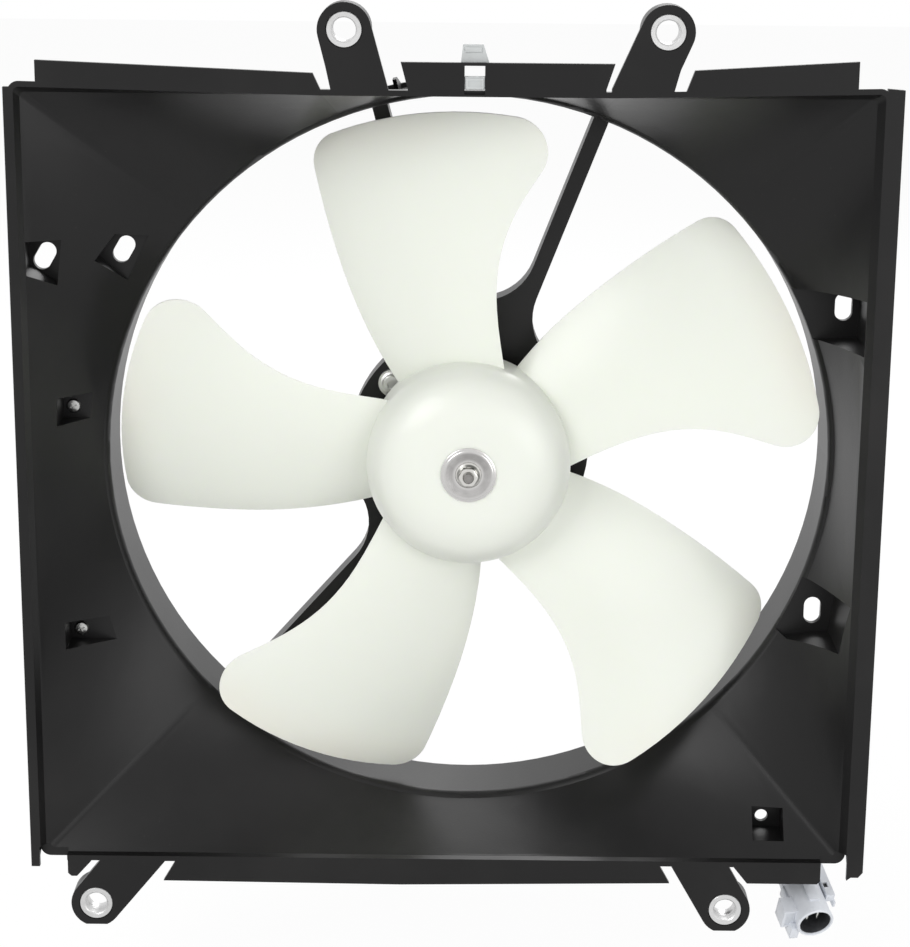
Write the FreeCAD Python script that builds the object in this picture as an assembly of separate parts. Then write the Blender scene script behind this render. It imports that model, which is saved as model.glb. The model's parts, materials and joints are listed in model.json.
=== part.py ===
"""Radiator cooling fan: a moulded shroud with a ring, four struts and a motor that turns a five-blade fan.

Lengths are in millimetres. X runs to the right as seen from the radiator, Z is up, and +Y points to
the rear, away from the radiator. The origin is on the fan axis, in the face that meets the radiator.
"""

import FreeCAD
import Part

import math
import os

V = FreeCAD.Vector

# general fits
TOUCH = 0.05          # clearance between pieces that are assembled and don't move
RUNNING = 0.04        # radial clearance of a shaft in its bush

# mounting face, flanges and tray
WALL = 2.5            # wall of the moulding
FLANGE = 2.5          # thickness of the flanges and side strips
FRAME_LEFT = -198.5   # inner faces of the tray at the mounting face
FRAME_RIGHT = 178.5
FRAME_BOTTOM = -182.5
FRAME_TOP = 172.4     # the upper edge is lowest between the upper ears
TOP_RISE = 2.6        # and rises towards both corners
TOP_FLAT_LEFT = -65.0
TOP_FLAT_RIGHT = 62.0
TRAY_DEPTH = 4.0      # depth of the step round the panel
TRAY_DRAFT = 3.0      # how far the right wall leans in over that depth; the others lean less
CORNER = 2.5
LEFT_STRIP = 4.5      # width of the side strips outside the tray
RIGHT_STRIP = 8.1
STRIP_TOP = 177.5
LEFT_STRIP_TOP = 174.9
STRIP_BOTTOM = -188.3
NOTCHES = ((-199.0, -186.2), (166.8, 179.0))   # at the two lower corners
NOTCH_DEPTH = 5.0

# ring and its rounded mouth
RING_BORE = 168.0
RING_WALL = 3.0
RING_FRONT = 50.0     # where the bore starts behind the mouth
RING_REAR = 83.0
MOUTH_RADIUS = 5.0
MOUTH_ANGLE = 60.0
RIB_COUNT = 16        # gussets behind the panel

# struts and motor plate
STRUT_ANGLES = (69.0, 104.8, 228.5, 301.0)
STRUT_WIDTH = 7.2
STRUT_FRONT = 69.0
STRUT_WALL = 2.0
STRUT_FILLET = 26.0
PLATE_RADIUS = 57.0
PLATE_SKIN = 3.0
PLATE_RIBS = 12

# mounting ears with steel sleeves
SLEEVE_BORE = 5.15
SLEEVE_WALL = 2.8
SLEEVE_LENGTH = 12.0
EAR_BOSS = 11.7
UPPER_EAR_Z = 200.6
UPPER_EAR_LEFT = -55.4
UPPER_EAR_RIGHT = 83.8
LOWER_EAR_Z = -206.8
LOWER_EAR_LEFT = -173.2
LOWER_EAR_RIGHT = 122.8
EAR_STEP = 0.8        # the root of an ear is thinner than its end

# fan
TIP_RADIUS = 162.3
HUB_RADIUS = 47.2
HUB_WALL = 2.5
HUB_FACE = 14.1       # front face of the hub
HUB_SHOULDER = 34.0   # the dome ends here and the hub's cylinder begins
HUB_REAR = 57.0
HUB_BOSS_RADIUS = 11.0
HUB_BOSS_REAR = 34.0
BLADE_COUNT = 5
BLADE_MIDDLE = 45.0   # depth of the blades' mean plane
BLADE_ROOT = 2.6      # thickness at the root
BLADE_TIP = 1.9
BLADE_CAMBER = 4.0
BLADE_START = 0.0     # turn of the whole fan about its axis
FRONT_CORNER = 16.0   # rounding of the two corners of a blade's tip
REAR_CORNER = 14.0
# share of the blade's length, then angle and depth of the leading and of the trailing edge
BLADE_STATIONS = (
    (-0.014, -3.0, -7.0, 62.5, 8.8),
    (0.11, 4.7, -7.4, 59.7, 9.4),
    (0.285, 9.4, -9.0, 56.1, 10.3),
    (0.46, 10.0, -10.2, 52.9, 11.0),
    (0.63, 8.1, -12.7, 50.2, 12.8),
    (0.81, 5.0, -18.2, 47.7, 15.0),
    (1.0, 3.4, -24.5, 45.3, 19.0),
)

# shaft, nut and washer
SHAFT_RADIUS = 4.0
SHAFT_REAR = 121.0
THREAD_RADIUS = 2.5
THREAD_TIP = 6.8
SHAFT_SHOULDER = 17.0
SHAFT_FLAT = 0.8      # depth of the flat that drives the fan
WASHER_RADIUS = 12.6
WASHER_THICK = 1.2
WASHER_DISH = 0.7
NUT_FLANGE_RADIUS = 6.0
NUT_FLANGE = 1.3
NUT_ACROSS = 8.0
NUT_HEIGHT = 4.6
INSERT_RADIUS = 7.0

# motor
CAN_RADIUS = 36.0
CAN_WALL = 1.6
CAN_FRONT = 50.0
CAN_REAR = 117.6
CAN_CORNER = 6.0
REAR_BOSS_RADIUS = 10.5
REAR_BOSS_LENGTH = 7.0
CAP_THICK = 2.5
CAP_BOSS_RADIUS = 10.5
CAP_BOSS_LENGTH = 9.0
BUSH_RADIUS = 8.0
BUSH_LENGTH = 9.0
BRACKET_THICK = 2.5
BRACKET_LUG = 6.5
SCREW_CIRCLE = 47.5
SCREW_ANGLES = (20.0, 140.0, 260.0)
SCREW_RADIUS = 2.4
SCREW_HEAD = 4.8
MAGNET_BORE = 27.5
MAGNET_ANGLE = 130.0
MAGNET_FRONT = 66.0
MAGNET_REAR = 100.0
CORE_RADIUS = 26.8
CORE_FRONT = 68.0
CORE_REAR = 98.0
CORE_SLOTS = 10
WINDING_DEPTH = 7.5
COMMUTATOR_RADIUS = 10.0
COMMUTATOR_FRONT = 106.1
COMMUTATOR_LENGTH = 7.5
BRUSH_PLATE_THICK = 1.6
BRUSH_WIDTH = 6.0
BRUSH_LENGTH = 9.0
BRUSH_DEPTH = 4.6
GROMMET_RADIUS = 5.0
GROMMET_ANGLE = 301.0
GROMMET_DEPTH = 106.0

# clip in the upper flange
CLIP_CENTRE = 1.0
CLIP_WINDOW = 8.9
CLIP_WINDOW_TOP = 185.7
CLIP_BLOCK_TOP = 180.8
CLIP_TOP = 194.6
CLIP_WIDTH = 12.0
CLIP_THICK = 2.2

# lead connector under the lower flange
PLUG_X = 166.6
PLUG_FRONT = 5.0
PLUG_Z = -215.6
PLUG_LENGTH = 34.0
PLUG_RADIUS = 8.9
PLUG_WALL = 1.4
PLUG_DROOP = 24.0     # the mouth points this far below the horizontal
PLUG_SWING = 13.5     # and this far to the side
SOCKET_DEPTH = 19.0
TONGUE_X = 161.0
TONGUE_FRONT = 24.0
TONGUE_THICK = 2.5
TONGUE_WIDTH = 9.0
TONGUE_BOTTOM = -198.0


def cylinder(radius, front, rear, x=0.0, z=0.0):
    """A round bar along Y."""
    return Part.makeCylinder(radius, rear - front, V(x, front, z), V(0, 1, 0))


def tube(outer, inner, front, rear, x=0.0, z=0.0):
    """A round tube along Y."""
    return cylinder(outer, front, rear, x, z).cut(cylinder(inner, front - 1, rear + 1, x, z))


def block(x0, x1, y0, y1, z0, z1):
    return Part.makeBox(x1 - x0, y1 - y0, z1 - z0, V(x0, y0, z0))


def plate(points, front, rear):
    """A flat piece with a straight-sided outline in XZ."""
    corners = [V(x, front, z) for x, z in points]
    face = Part.Face(Part.makePolygon(corners + corners[:1]))
    return face.extrude(V(0, rear - front, 0))


def turned(points):
    """A solid of revolution about Y from (radius, depth) points."""
    corners = [V(r, y, 0) for r, y in points]
    face = Part.Face(Part.makePolygon(corners + corners[:1]))
    return face.revolve(V(0, 0, 0), V(0, 1, 0), 360)


def polar(radius, degrees):
    """X and Z of a point at a radius and an angle from +X towards +Z."""
    turn = math.radians(degrees)
    return radius * math.cos(turn), radius * math.sin(turn)


def about_axis(shape, degrees):
    """A copy turned about the fan axis, from +X towards +Z."""
    copy = shape.copy()
    copy.rotate(V(0, 0, 0), V(0, 1, 0), -degrees)
    return copy


def fused(shapes):
    """One solid from pieces that overlap."""
    joined = shapes[0].multiFuse(shapes[1:]) if len(shapes) > 1 else shapes[0]
    return joined.removeSplitter()


def slot(x, z, degrees, width, length, front, rear):
    """A round-ended slot."""
    half = (length - width) / 2
    dx, dz = polar(half, degrees)
    bar = block(-half, half, front, rear, -width / 2, width / 2)
    bar.rotate(V(0, 0, 0), V(0, 1, 0), -degrees)
    bar.translate(V(x, 0, z))
    ends = [cylinder(width / 2, front, rear, x + s * dx, z + s * dz) for s in (-1, 1)]
    return fused([bar] + ends)


def rim_points(inset, top_rise, grow):
    """Corners of the tray's outline, counter-clockwise from the upper right."""
    left = FRAME_LEFT + 0.7 * inset - grow
    right = FRAME_RIGHT - inset + grow
    bottom = FRAME_BOTTOM + 0.1 * inset - grow
    middle = FRAME_TOP - 0.1 * inset + grow
    ends = middle + top_rise
    return left, right, bottom, middle, ends


def rim_wire(depth, inset, top_rise, grow):
    """The tray's outline at one depth: five straight edges on four sides and four rounded corners."""
    left, right, bottom, middle, ends = rim_points(inset, top_rise, grow)
    c = CORNER + grow
    bow = c * (1 - math.sqrt(0.5))
    spots = {
        "tr": (V(right, depth, ends - c), V(right - bow, depth, ends - bow), V(right - c, depth, ends)),
        "tl": (V(left + c, depth, ends), V(left + bow, depth, ends - bow), V(left, depth, ends - c)),
        "bl": (V(left, depth, bottom + c), V(left + bow, depth, bottom + bow), V(left + c, depth, bottom)),
        "br": (V(right - c, depth, bottom), V(right - bow, depth, bottom + bow), V(right, depth, bottom + c)),
    }
    flat_right = V(TOP_FLAT_RIGHT, depth, middle)
    flat_left = V(TOP_FLAT_LEFT, depth, middle)
    path = [
        Part.Arc(*spots["tr"]),
        Part.LineSegment(spots["tr"][2], flat_right),
        Part.LineSegment(flat_right, flat_left),
        Part.LineSegment(flat_left, spots["tl"][0]),
        Part.Arc(*spots["tl"]),
        Part.LineSegment(spots["tl"][2], spots["bl"][0]),
        Part.Arc(*spots["bl"]),
        Part.LineSegment(spots["bl"][2], spots["br"][0]),
        Part.Arc(*spots["br"]),
        Part.LineSegment(spots["br"][2], spots["tr"][0]),
    ]
    return Part.Wire([edge.toShape() for edge in path])


def ring_wire(depth, radius):
    """A circle split into ten arcs that face the ten edges of the tray's outline."""
    left, right, bottom, middle, ends = rim_points(TRAY_DRAFT, 0.0, 0.0)
    c = CORNER
    stops = [
        (right, ends - c), (right - c, ends), (TOP_FLAT_RIGHT, middle), (TOP_FLAT_LEFT, middle),
        (left + c, ends), (left, ends - c), (left, bottom + c), (left + c, bottom),
        (right - c, bottom), (right, bottom + c),
    ]
    angles = [math.degrees(math.atan2(z, x)) % 360 for x, z in stops]
    edges = []
    for start, end in zip(angles, angles[1:] + angles[:1]):
        end = end if end > start else end + 360
        on_circle = [polar(radius, start + share * (end - start)) for share in (0, 0.5, 1)]
        edges.append(Part.Arc(*[V(x, depth, z) for x, z in on_circle]).toShape())
    return Part.Wire(edges)


def funnel(grow):
    """The space inside the tray and the funnel, or its outer form when it is grown by the wall."""
    turn = math.radians(MOUTH_ANGLE)
    meet_radius = RING_BORE + MOUTH_RADIUS * (1 - math.cos(turn)) + grow
    meet_depth = RING_FRONT - MOUTH_RADIUS * math.sin(turn) + grow
    face = rim_wire(0, 0.0, TOP_RISE, grow)
    knee = rim_wire(TRAY_DEPTH + grow, TRAY_DRAFT, 0.4, grow)
    mouth = ring_wire(meet_depth, meet_radius)
    return lofted(face, knee).fuse(lofted(knee, mouth))


def lofted(front, rear):
    """A solid with straight rulings between two outlines."""
    body = Part.makeLoft([front, rear], True, True)
    if body.Volume < 0:
        body.reverse()
    return body


def mouth_void():
    """The rounded mouth and the bore of the ring."""
    turn = math.radians(MOUTH_ANGLE)
    meet_radius = RING_BORE + MOUTH_RADIUS * (1 - math.cos(turn))
    meet_depth = RING_FRONT - MOUTH_RADIUS * math.sin(turn)
    half = math.radians(MOUTH_ANGLE / 2)
    middle = V(RING_BORE + MOUTH_RADIUS * (1 - math.cos(half)), RING_FRONT - MOUTH_RADIUS * math.sin(half), 0)
    start, end = V(meet_radius, meet_depth, 0), V(RING_BORE, RING_FRONT, 0)
    outlet, axis_rear = V(RING_BORE, RING_REAR + 5, 0), V(0, RING_REAR + 5, 0)
    edges = [
        Part.LineSegment(V(0, meet_depth, 0), start).toShape(),
        Part.Arc(start, middle, end).toShape(),
        Part.LineSegment(end, outlet).toShape(),
        Part.LineSegment(outlet, axis_rear).toShape(),
        Part.LineSegment(axis_rear, V(0, meet_depth, 0)).toShape(),
    ]
    return Part.Face(Part.Wire(edges)).revolve(V(0, 0, 0), V(0, 1, 0), 360)


def ear(x, z, root, flat=None):
    """An ear: a boss round a sleeve and a web that widens to its root in the flange."""
    boss = cylinder(EAR_BOSS, 0, SLEEVE_LENGTH, x, z)
    left, right = root[0], root[-1]
    reach = math.hypot(left[0] - x, left[1] - z)
    side_l = tangent_point(x, z, EAR_BOSS, left, reach, -1)
    reach = math.hypot(right[0] - x, right[1] - z)
    side_r = tangent_point(x, z, EAR_BOSS, right, reach, 1)
    web = plate([side_l] + list(root) + [side_r, (x, z)], 0, FLANGE + 0.5)
    body = fused([boss, web])
    if flat is not None:
        body = body.cut(block(x - 2 * EAR_BOSS, x + 2 * EAR_BOSS, -1, SLEEVE_LENGTH + 1, flat - EAR_BOSS, flat))
    return body


def tangent_point(x, z, radius, target, reach, side):
    """The point where a line from the target touches a circle, on the chosen side."""
    base = math.atan2(target[1] - z, target[0] - x)
    swing = math.acos(min(1.0, radius / reach))
    away = base + side * swing
    return x + radius * math.cos(away), z + radius * math.sin(away)


def flanges():
    """Flanges, side strips and ears in the mounting face, before the tray is opened."""
    top_end = FRAME_TOP + TOP_RISE
    low = FRAME_BOTTOM
    left = FRAME_LEFT - LEFT_STRIP
    right = FRAME_RIGHT + RIGHT_STRIP
    inside = 6.0
    pieces = [
        plate([(-188.8, top_end - inside), (-188.8, 186.5), (-69.0, 182.0), (-64.9, 173.3), (-64.9, 165)], 0, FLANGE),
        plate([(-27.8, 165), (-27.8, 175), (-31.0, 187), (61.4, 187), (57.8, 176), (57.8, 165)], 0, FLANGE),
        plate([(91.8, 165), (92.0, 174.3), (95.8, 184.5), (166.4, 188.9), (166.4, 165)], 0, FLANGE),
        plate([(-196, low + inside), (-186, low + inside), (-175, low + inside), (-175, -185.4), (-181.8, -193),
               (-184.4, -193), (-186, -191.5), (-186, -184.2), (-196, -184.2)], 0, FLANGE),
        plate([(-135.8, low + inside), (-135.8, -185.6), (-141.2, -194.8), (-30, -195.6), (96.2, -193.5),
               (91.6, -185.2), (91.6, low + inside)], 0, FLANGE),
        plate([(126.2, low + inside), (126.2, -185.2), (132.6, -193.2), (165.4, -193.2), (166.8, -191.8),
               (166.8, low + inside)], 0, FLANGE),
        plate([(left, LEFT_STRIP_TOP), (left, STRIP_BOTTOM), (FRAME_LEFT - 0.6, STRIP_BOTTOM),
               (FRAME_LEFT - 0.6, LEFT_STRIP_TOP)], 0, FLANGE),
        plate([(FRAME_RIGHT + 0.6, STRIP_TOP), (right, STRIP_TOP - 0.6), (right, STRIP_BOTTOM + 1.1),
               (right - 2.1, STRIP_BOTTOM - 1.4), (FRAME_RIGHT + 2.5, STRIP_BOTTOM - 1.4),
               (FRAME_RIGHT + 0.6, STRIP_BOTTOM - 2.9)], 0, FLANGE),
        ear(UPPER_EAR_LEFT, UPPER_EAR_Z, [(-63.4, 184.6), (-61.0, 173.6), (-61, 165), (-36.0, 165), (-36.2, 174.8)]),
        ear(UPPER_EAR_RIGHT, UPPER_EAR_Z, [(60.2, 176.2), (60.2, 165), (86.8, 165), (86.8, 174.1), (89.6, 184.6)]),
        ear(LOWER_EAR_LEFT, LOWER_EAR_Z,
            [(-140.5, -185.3), (-140.5, -176), (-171, -176), (-171, -185.3)], LOWER_EAR_Z - 10.6),
        ear(LOWER_EAR_RIGHT, LOWER_EAR_Z,
            [(123.3, -184.0), (123.3, -176), (97.0, -176), (97.0, -185.2)], LOWER_EAR_Z - 10.6),
    ]
    return pieces


def spider_face(trim):
    """Outline of the struts and the motor plate, drawn in by trim from every edge."""
    half = STRUT_WIDTH / 2 - trim
    disc = Part.Face(Part.Wire(Part.makeCircle(PLATE_RADIUS - trim, V(0, 0, 0), V(0, 1, 0))))
    faces = [disc]
    radius = STRUT_FILLET + trim
    centre_distance = PLATE_RADIUS + STRUT_FILLET
    across = STRUT_WIDTH / 2 + STRUT_FILLET
    swing = math.degrees(math.asin(across / centre_distance))
    along = math.sqrt(centre_distance ** 2 - across ** 2)
    for index, angle in enumerate(STRUT_ANGLES):
        bar = Part.makePolygon([V(0, 0, -half), V(RING_BORE + RING_WALL / 2, 0, -half),
                                V(RING_BORE + RING_WALL / 2, 0, half), V(0, 0, half), V(0, 0, -half)])
        faces.append(about_axis(Part.Face(bar), angle))
        for side in (-1, 1):
            neighbour = STRUT_ANGLES[(index + side) % len(STRUT_ANGLES)]
            gap = (side * (neighbour - angle)) % 360
            if gap < 2 * swing:
                continue
            corner = [V(0, 0, 0), V(along, 0, side * half), V(*_xyz(centre_distance, side * swing)), V(0, 0, 0)]
            gusset = Part.Face(Part.makePolygon(corner))
            bite = Part.makeCircle(radius, V(*_xyz(centre_distance, side * swing)), V(0, 1, 0))
            faces.append(about_axis(gusset.cut(Part.Face(Part.Wire(bite))), angle))
    for start, end in zip(STRUT_ANGLES, STRUT_ANGLES[1:]):
        gap = end - start
        if gap >= 2 * swing:
            continue
        reach = across / math.sin(math.radians(gap / 2))
        step = reach * math.cos(math.radians(gap / 2))
        left, right = _xyz(step, gap / 2), _xyz(step, -gap / 2)
        web = Part.Face(Part.makePolygon([V(0, 0, 0), V(*right), V(reach, 0, 0), V(*left), V(0, 0, 0)]))
        bite = Part.makeCircle(radius, V(reach, 0, 0), V(0, 1, 0))
        faces.append(about_axis(web.cut(Part.Face(Part.Wire(bite))), (start + end) / 2))
    return faces


def _xyz(radius, degrees):
    x, z = polar(radius, degrees)
    return x, 0, z


def spider():
    """Four struts and the motor plate as one channel-shaped moulding, open to the rear."""
    outer = [face.extrude(V(0, RING_REAR - STRUT_FRONT, 0)) for face in spider_face(0.0)]
    inner = [face.extrude(V(0, RING_REAR, 0)) for face in spider_face(STRUT_WALL)]
    body = fused(outer)
    body.translate(V(0, STRUT_FRONT, 0))
    hollow = fused(inner)
    hollow.translate(V(0, STRUT_FRONT + PLATE_SKIN, 0))
    hole = CAN_RADIUS + 2.0
    seat = tube(hole + STRUT_WALL, hole, STRUT_FRONT, RING_REAR)
    ribs = []
    for index in range(PLATE_RIBS):
        rib = block(hole + STRUT_WALL / 2, PLATE_RADIUS - STRUT_WALL / 2, STRUT_FRONT, RING_REAR - 1.0, -0.9, 0.9)
        ribs.append(about_axis(rib, index * 360 / PLATE_RIBS + 5.0))
    for angle in STRUT_ANGLES:
        for radius in range(80, 160, 26):
            rib = block(radius, radius + 1.6, STRUT_FRONT, RING_REAR - 1.0, -STRUT_WIDTH / 2, STRUT_WIDTH / 2)
            ribs.append(about_axis(rib, angle))
    bosses = []
    for angle in SCREW_ANGLES:
        x, z = polar(SCREW_CIRCLE, angle)
        bosses.append(cylinder(SCREW_RADIUS + 2.6, STRUT_FRONT, RING_REAR, x, z))
    body = fused([body.cut(hollow), seat] + ribs + bosses)
    body = body.cut(cylinder(hole, STRUT_FRONT - 1, RING_REAR + 1))
    for angle in SCREW_ANGLES:
        x, z = polar(SCREW_CIRCLE, angle)
        body = body.cut(cylinder(SCREW_RADIUS + TOUCH, STRUT_FRONT - 1, RING_REAR - 1.5, x, z))
    return body


# recessed pads in the panel: outline, depth of the floor, and the slot or hole in it
PADS = (
    ([(-198.2, 106.6), (-182.4, 105.6), (-184.7, 85.1), (-198.2, 92.6)], 24.6, ("slot", -191.2, 97.1, 60.0)),
    ([(-169.6, 94.3), (-156.6, 83.5), (-146.5, 104.0), (-160.8, 105.9)], 41.7, ("slot", -158.0, 97.6, 60.0)),
    ([(-186.6, 32.6), (-173.4, 31.4), (-174.1, 19.3), (-187.4, 19.7)], 37.2, ("screw", -182.3, 25.2, 0.0)),
    ([(-186.3, -73.5), (-166.8, -75.9), (-163.8, -87.0), (-186.1, -86.3)], 33.8, ("screw", -181.3, -81.5, 0.0)),
    ([(146.0, 81.3), (178.8, 83.6), (178.8, 58.6), (155.0, 57.5)], 48.0, ("slot", 171.9, 72.9, 90.0)),
    ([(153.0, -56.5), (175.2, -58.8), (172.0, -83.6), (151.7, -86.1), (142.0, -79.5)], 47.7,
     ("slot", 164.1, -73.6, 90.0)),
    ([(135.8, -162.6), (150.3, -162.6), (150.3, -175.7), (135.8, -175.7)], 28.2, ("hole", 141.5, -170.4, 0.0)),
)
PAD_SLOT = 8.0
PAD_SLOT_LENGTH = 13.0
PAD_HOLE = 3.0
PAD_SCREW = 1.9


def pads():
    """Outer forms and inner spaces of the recessed pads."""
    outer, inner = [], []
    keep = cylinder(RING_BORE + 0.4, 0, RING_REAR + 5)
    for points, floor, (kind, x, z, turn) in PADS:
        corners = [V(px, 0, pz) for px, pz in points]
        face = Part.Face(Part.makePolygon(corners + corners[:1]))
        grown = face.makeOffset2D(2.0, 2)
        body = grown.extrude(V(0, floor + WALL - TRAY_DEPTH, 0))
        body.translate(V(0, TRAY_DEPTH, 0))
        if kind == "screw":
            body = body.fuse(cylinder(PAD_SCREW + 2.0, TRAY_DEPTH + 5, floor + 9.0, x, z))
        outer.append(body)
        space = plate(points, TRAY_DEPTH + 0.2, floor).cut(keep)
        if kind == "slot":
            space = space.fuse(slot(x, z, turn, PAD_SLOT, PAD_SLOT_LENGTH, floor - 1, floor + WALL + 1))
        elif kind == "hole":
            space = space.fuse(cylinder(PAD_HOLE, floor - 1, floor + WALL + 1, x, z))
        else:
            space = space.fuse(cylinder(PAD_SCREW, floor - 1, floor + 7.0, x, z))
        inner.append(space)
    return outer, inner


def gussets():
    """Triangular ribs between the ring and the back of the panel."""
    base = RING_BORE + RING_WALL - 1.0
    shape = []
    for index in range(RIB_COUNT):
        angle = (index + 0.5) * 360 / RIB_COUNT
        corners = [V(base, RING_FRONT - 6, 0), V(base, RING_REAR - 8, 0), V(base + 4, RING_REAR - 8, 0),
                   V(base + 9, RING_FRONT, 0), V(base + 9, RING_FRONT - 10, 0)]
        face = Part.Face(Part.makePolygon(corners + corners[:1]))
        rib = face.extrude(V(0, 0, 1.8))
        rib.translate(V(0, 0, -0.9))
        shape.append(about_axis(rib, angle))
    return shape


def shroud():
    """The whole moulding."""
    outer_pads, inner_pads = pads()
    tongue = block(TONGUE_X - TONGUE_WIDTH / 2, TONGUE_X + TONGUE_WIDTH / 2, TONGUE_FRONT,
                   TONGUE_FRONT + TONGUE_THICK, TONGUE_BOTTOM, FRAME_BOTTOM - 0.5)
    root = block(TONGUE_X - TONGUE_WIDTH / 2, TONGUE_X + TONGUE_WIDTH / 2, 1.0,
                 TONGUE_FRONT + TONGUE_THICK, FRAME_BOTTOM - 3.4, FRAME_BOTTOM - 0.5)
    ring = cylinder(RING_BORE + RING_WALL, RING_FRONT - 4, RING_REAR)
    lip = cylinder(RING_BORE + RING_WALL + 2.0, RING_REAR - 2.5, RING_REAR)
    solid = fused([funnel(WALL), ring, lip])
    solid = fused([solid] + outer_pads + gussets() + [tongue, root])
    solid = fused([solid, fused(flanges())])
    for void in funnel(0.0).Solids + [mouth_void()]:
        solid = solid.cut(void)
    for space in inner_pads:
        solid = solid.cut(space)
    solid = solid.fuse(spider())
    for x, z in ear_centres():
        solid = solid.cut(cylinder(SLEEVE_BORE + SLEEVE_WALL + TOUCH, -1, SLEEVE_LENGTH + 1, x, z))
    for left, right in NOTCHES:
        solid = solid.cut(block(left, right, -1, NOTCH_DEPTH, FRAME_BOTTOM - WALL - 0.1, FRAME_BOTTOM + 4.0))
    window = block(CLIP_CENTRE - CLIP_WINDOW / 2, CLIP_CENTRE + CLIP_WINDOW / 2, -1, FLANGE + 0.2,
                   FRAME_TOP + 1.0, CLIP_WINDOW_TOP)
    return solid.cut(window).removeSplitter()


def ear_centres():
    return ((UPPER_EAR_LEFT, UPPER_EAR_Z), (UPPER_EAR_RIGHT, UPPER_EAR_Z),
            (LOWER_EAR_LEFT, LOWER_EAR_Z), (LOWER_EAR_RIGHT, LOWER_EAR_Z))


def sleeve(x, z):
    """A rolled steel sleeve that takes the bolt's load past the plastic."""
    body = tube(SLEEVE_BORE + SLEEVE_WALL, SLEEVE_BORE, 0, SLEEVE_LENGTH, x, z)
    return body


def blade():
    """One swept and twisted blade between the hub and the tip circle, with both tip corners rounded."""
    columns = 9
    sheets = {-1: [], 1: []}
    span = TIP_RADIUS - HUB_RADIUS
    for share, lead, lead_y, trail, trail_y in BLADE_STATIONS:
        radius = HUB_RADIUS + share * span
        thick = BLADE_ROOT + (BLADE_TIP - BLADE_ROOT) * max(0.0, share)
        rows = {-1: [], 1: []}
        for column in range(columns):
            u = column / (columns - 1)
            x, z = polar(radius, lead + (trail - lead) * u)
            middle = BLADE_MIDDLE + lead_y + (trail_y - lead_y) * u - BLADE_CAMBER * 4 * u * (1 - u)
            swell = 0.35 + 0.65 * math.sqrt(max(0.0, 1 - abs(2 * u - 1) ** 3))
            for face in (-1, 1):
                rows[face].append(V(x, middle + face * thick * swell / 2, z))
        for face in (-1, 1):
            sheets[face].append(rows[face])
    surfaces = []
    for face in (-1, 1):
        surface = Part.BSplineSurface()
        surface.interpolate(sheets[face])
        surfaces.append(surface)
    front, rear = surfaces
    faces = [front.toShape(), rear.toShape()]
    for direction in ("u", "v"):
        for end in (0, 1):
            curves = []
            for surface in surfaces:
                first, last, low, high = surface.bounds()
                if direction == "u":
                    curves.append(surface.uIso(last if end else first))
                else:
                    curves.append(surface.vIso(high if end else low))
            faces.append(Part.makeRuledSurface(curves[0].toShape(), curves[1].toShape()))
    shell = Part.Shell(Part.makeShell(faces).Faces)
    shell.sewShape()
    solid = Part.makeSolid(shell)
    if solid.Volume < 0:
        solid.reverse()
    return solid.cut(tip_corner(1, FRONT_CORNER, 1)).cut(tip_corner(3, REAR_CORNER, -1))


def tip_corner(column, radius, side):
    """What is cut away to round one corner of a blade's tip.

    The round touches the tip circle and the blade's edge, which is the given column of the stations;
    side is the way into the blade.
    """
    curve = Part.BSplineCurve()
    curve.interpolate([V(*_xyz(HUB_RADIUS + row[0] * (TIP_RADIUS - HUB_RADIUS), row[column])) for row in BLADE_STATIONS])
    edge = curve.discretize(Number=600)
    level = TIP_RADIUS - radius
    start = min(edge, key=lambda point: abs(point.Length - level))
    turn = math.degrees(math.atan2(start.z, start.x))
    while True:
        centre = V(*_xyz(level, turn))
        touch = min(edge, key=lambda point: point.distanceToPoint(centre))
        if touch.distanceToPoint(centre) >= radius:
            break
        turn += side * 0.02
    spread = math.degrees((radius + 14) / level)
    outward = centre + (touch - centre) * ((radius + 12) / radius)
    outline = [(centre.x, centre.z), polar(TIP_RADIUS + 8, turn), polar(TIP_RADIUS + 8, turn - side * spread),
               (outward.x, outward.z)]
    wedge = plate(outline, 0, 2 * BLADE_MIDDLE)
    return wedge.cut(cylinder(radius, -1, 2 * BLADE_MIDDLE + 1, centre.x, centre.z))


def dome(radius, face, shoulder, rear):
    """A cup-shaped hub: flat face, elliptical shoulder and cylinder."""
    flat = 0.42 * radius
    edges = [V(0, face, 0), V(flat, face, 0)]
    curve = []
    for step in range(1, 7):
        turn = math.radians(90 - 15 * step)
        curve.append(V(flat + (radius - flat) * math.cos(turn), shoulder - (shoulder - face) * math.sin(turn), 0))
    spline = Part.BSplineCurve()
    spline.interpolate([edges[1]] + curve, False)
    path = [
        Part.LineSegment(edges[0], edges[1]).toShape(),
        spline.toShape(),
        Part.LineSegment(curve[-1], V(radius, rear, 0)).toShape(),
        Part.LineSegment(V(radius, rear, 0), V(0, rear, 0)).toShape(),
        Part.LineSegment(V(0, rear, 0), edges[0]).toShape(),
    ]
    return Part.Face(Part.Wire(path)).revolve(V(0, 0, 0), V(0, 1, 0), 360)


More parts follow.
